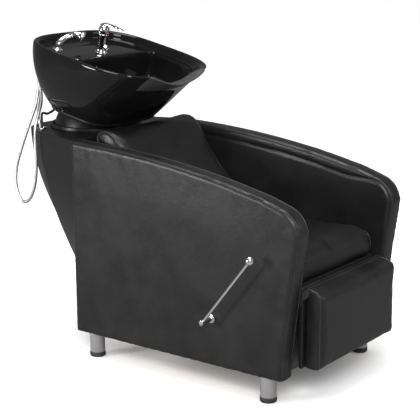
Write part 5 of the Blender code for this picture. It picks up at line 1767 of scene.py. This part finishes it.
# ---- studio ----------------------------------------------------------------------------
@dataclass
class Studio:
    """Camera, floor and soft light.

    Attributes:
        azimuth: Camera azimuth in degrees.
        elevation: Camera elevation in degrees.
        distance: Camera distance from the point it looks at.
        target: That point, on the shared frame.
        roll: Camera roll in degrees.
        lens: Focal length on a 36 mm sensor.
        flagged: Brightness of the surround in glossy reflections.
    """

    azimuth: float = -53.0391
    elevation: float = 13.2959
    distance: float = 4.04616
    target: tuple[float, float, float] = (0.0293, -0.0590, 0.4840)
    roll: float = -0.4067
    lens: float = 104.53
    flagged: float = 0.19

    def camera(self) -> None:
        """Set the camera up: its back axis from azimuth and elevation, then the roll about it."""
        a, e, r = (math.radians(v) for v in (self.azimuth, self.elevation, self.roll))
        back = np.array((math.sin(a) * math.cos(e), -math.cos(a) * math.cos(e), math.sin(e)))
        right = np.cross(-back, (0.0, 0.0, 1.0))
        right /= np.linalg.norm(right)
        up = np.cross(right, -back)
        right, up = math.cos(r) * right + math.sin(r) * up, -math.sin(r) * right + math.cos(r) * up
        data = bpy.data.cameras.new("camera")
        data.lens = self.lens
        data.sensor_width = 36.0
        data.clip_end = 60.0
        camera = bpy.data.objects.new("camera", data)
        bpy.context.scene.collection.objects.link(camera)
        place = np.eye(4)
        place[:3, 0], place[:3, 1], place[:3, 2] = right, up, back
        place[:3, 3] = np.array(self.target) + back * self.distance
        camera.matrix_world = Matrix(place.tolist())
        bpy.context.scene.camera = camera

    def floor(self) -> None:
        """Lay a wide pale floor, which looks greyer in glossy reflections, as if flagged off."""
        reach = np.linspace(-30.0, 30.0, 3)
        x, y = np.meshgrid(reach, reach, indexing="ij")
        points = np.stack([x, y, np.full_like(x, -0.0002)], axis=-1).reshape(-1, 3)
        mesh = bpy.data.meshes.new("floor")
        mesh.from_pydata(points.tolist(), [], grid_quads(3, 3, False, False)[:, ::-1].tolist())
        floor = bpy.data.objects.new("floor", mesh)
        bpy.context.scene.collection.objects.link(floor)
        mesh.shade_smooth()
        paint = bpy.data.materials.new("studio_floor")
        paint.use_nodes = True
        shader = paint.node_tree.nodes["Principled BSDF"]
        shader.inputs["Roughness"].default_value = 0.85
        shader.inputs["Specular IOR Level"].default_value = 0.0
        tree = paint.node_tree
        mirror = tree.nodes.new("ShaderNodeLightPath").outputs["Is Glossy Ray"]
        tone = tree.nodes.new("ShaderNodeMix")
        tone.data_type = "RGBA"
        tone.inputs[6].default_value = (0.93, 0.93, 0.93, 1.0)
        tone.inputs[7].default_value = (self.flagged, self.flagged, self.flagged, 1.0)
        tree.links.new(mirror, tone.inputs[0])
        tree.links.new(tone.outputs[2], shader.inputs["Base Color"])
        mesh.materials.append(paint)

    def lamp(self, name: str, place: tuple[float, float, float], size: tuple[float, float],
             watts: float) -> None:
        """Hang one soft lamp that looks at the unit.

        Args:
            name: Name of the lamp.
            place: Its position.
            size: Its width and height.
            watts: Its power.
        """
        data = bpy.data.lights.new(name, "AREA")
        data.shape = "RECTANGLE"
        data.size, data.size_y = size
        data.energy = watts
        lamp = bpy.data.objects.new(name, data)
        bpy.context.scene.collection.objects.link(lamp)
        back = np.array(place) - np.array((0.0, 0.0, 0.45))
        back /= np.linalg.norm(back)
        right = np.cross((0.0, 0.0, 1.0), back)
        right /= np.linalg.norm(right)
        spot = np.eye(4)
        spot[:3, 0], spot[:3, 1], spot[:3, 2], spot[:3, 3] = right, np.cross(back, right), back, place
        lamp.matrix_world = Matrix(spot.tolist())

    def sky(self) -> None:
        """Even pale surround, greyer in glossy reflections."""
        world = bpy.data.worlds.new("studio")
        world.use_nodes = True
        shade = world.node_tree.nodes["Background"]
        shade.inputs["Color"].default_value = (1.0, 1.0, 1.0, 1.0)
        tree = world.node_tree
        mirror = tree.nodes.new("ShaderNodeLightPath").outputs["Is Glossy Ray"]
        level = tree.nodes.new("ShaderNodeMapRange")
        level.inputs["To Min"].default_value = 1.06
        level.inputs["To Max"].default_value = self.flagged
        tree.links.new(mirror, level.inputs["Value"])
        tree.links.new(level.outputs["Result"], shade.inputs["Strength"])
        bpy.context.scene.world = world

    def build(self) -> None:
        """Set the whole studio up."""
        bpy.context.scene.view_settings.view_transform = "Standard"
        self.camera()
        self.floor()
        self.sky()
        self.lamp("key", (-2.9, -2.2, 2.7), (1.8, 1.4), 110.0)
        self.lamp("side_strip", (-3.7, 2.2, 1.35), (0.8, 1.2), 100.0)
        self.lamp("front_fill", (1.6, -3.8, 2.4), (1.2, 1.2), 22.0)
        self.lamp("top", (-0.3, 0.0, 3.6), (2.0, 1.6), 90.0)


# ---- assembly --------------------------------------------------------------------------
def dress_timber() -> None:
    """Give the hidden frames their timber, and the boards and rails that show in front a black colour as
    painted shade of the gap behind the leg rest.
    """
    redress(TIMBER, "side_frame_left", "side_frame_right", "seat_rear_rail")
    # Painted shade: the front boards and rails are coloured black for the shadow in the gap.
    redress(SHADED_BOARD, "seat_front_rail", "lower_front_rail", "seat_board", "back_board")


def main() -> None:
    """Build the unit piece by piece and report each one."""
    logging.basicConfig(level=logging.INFO, format="%(name)s: %(message)s")
    Studio().build()
    for hose in HOSES:
        LOG.info("built %s", hose.build())
    for assembly in (SidePanels(), Cushions(), LegRest(), Cabinet(), Bowl(), Tap(), HandShower(),
                     HandLever()):
        for name in assembly.build():
            LOG.info("built %s", name)
    dress_timber()


if __name__ == "__main__":
    main()
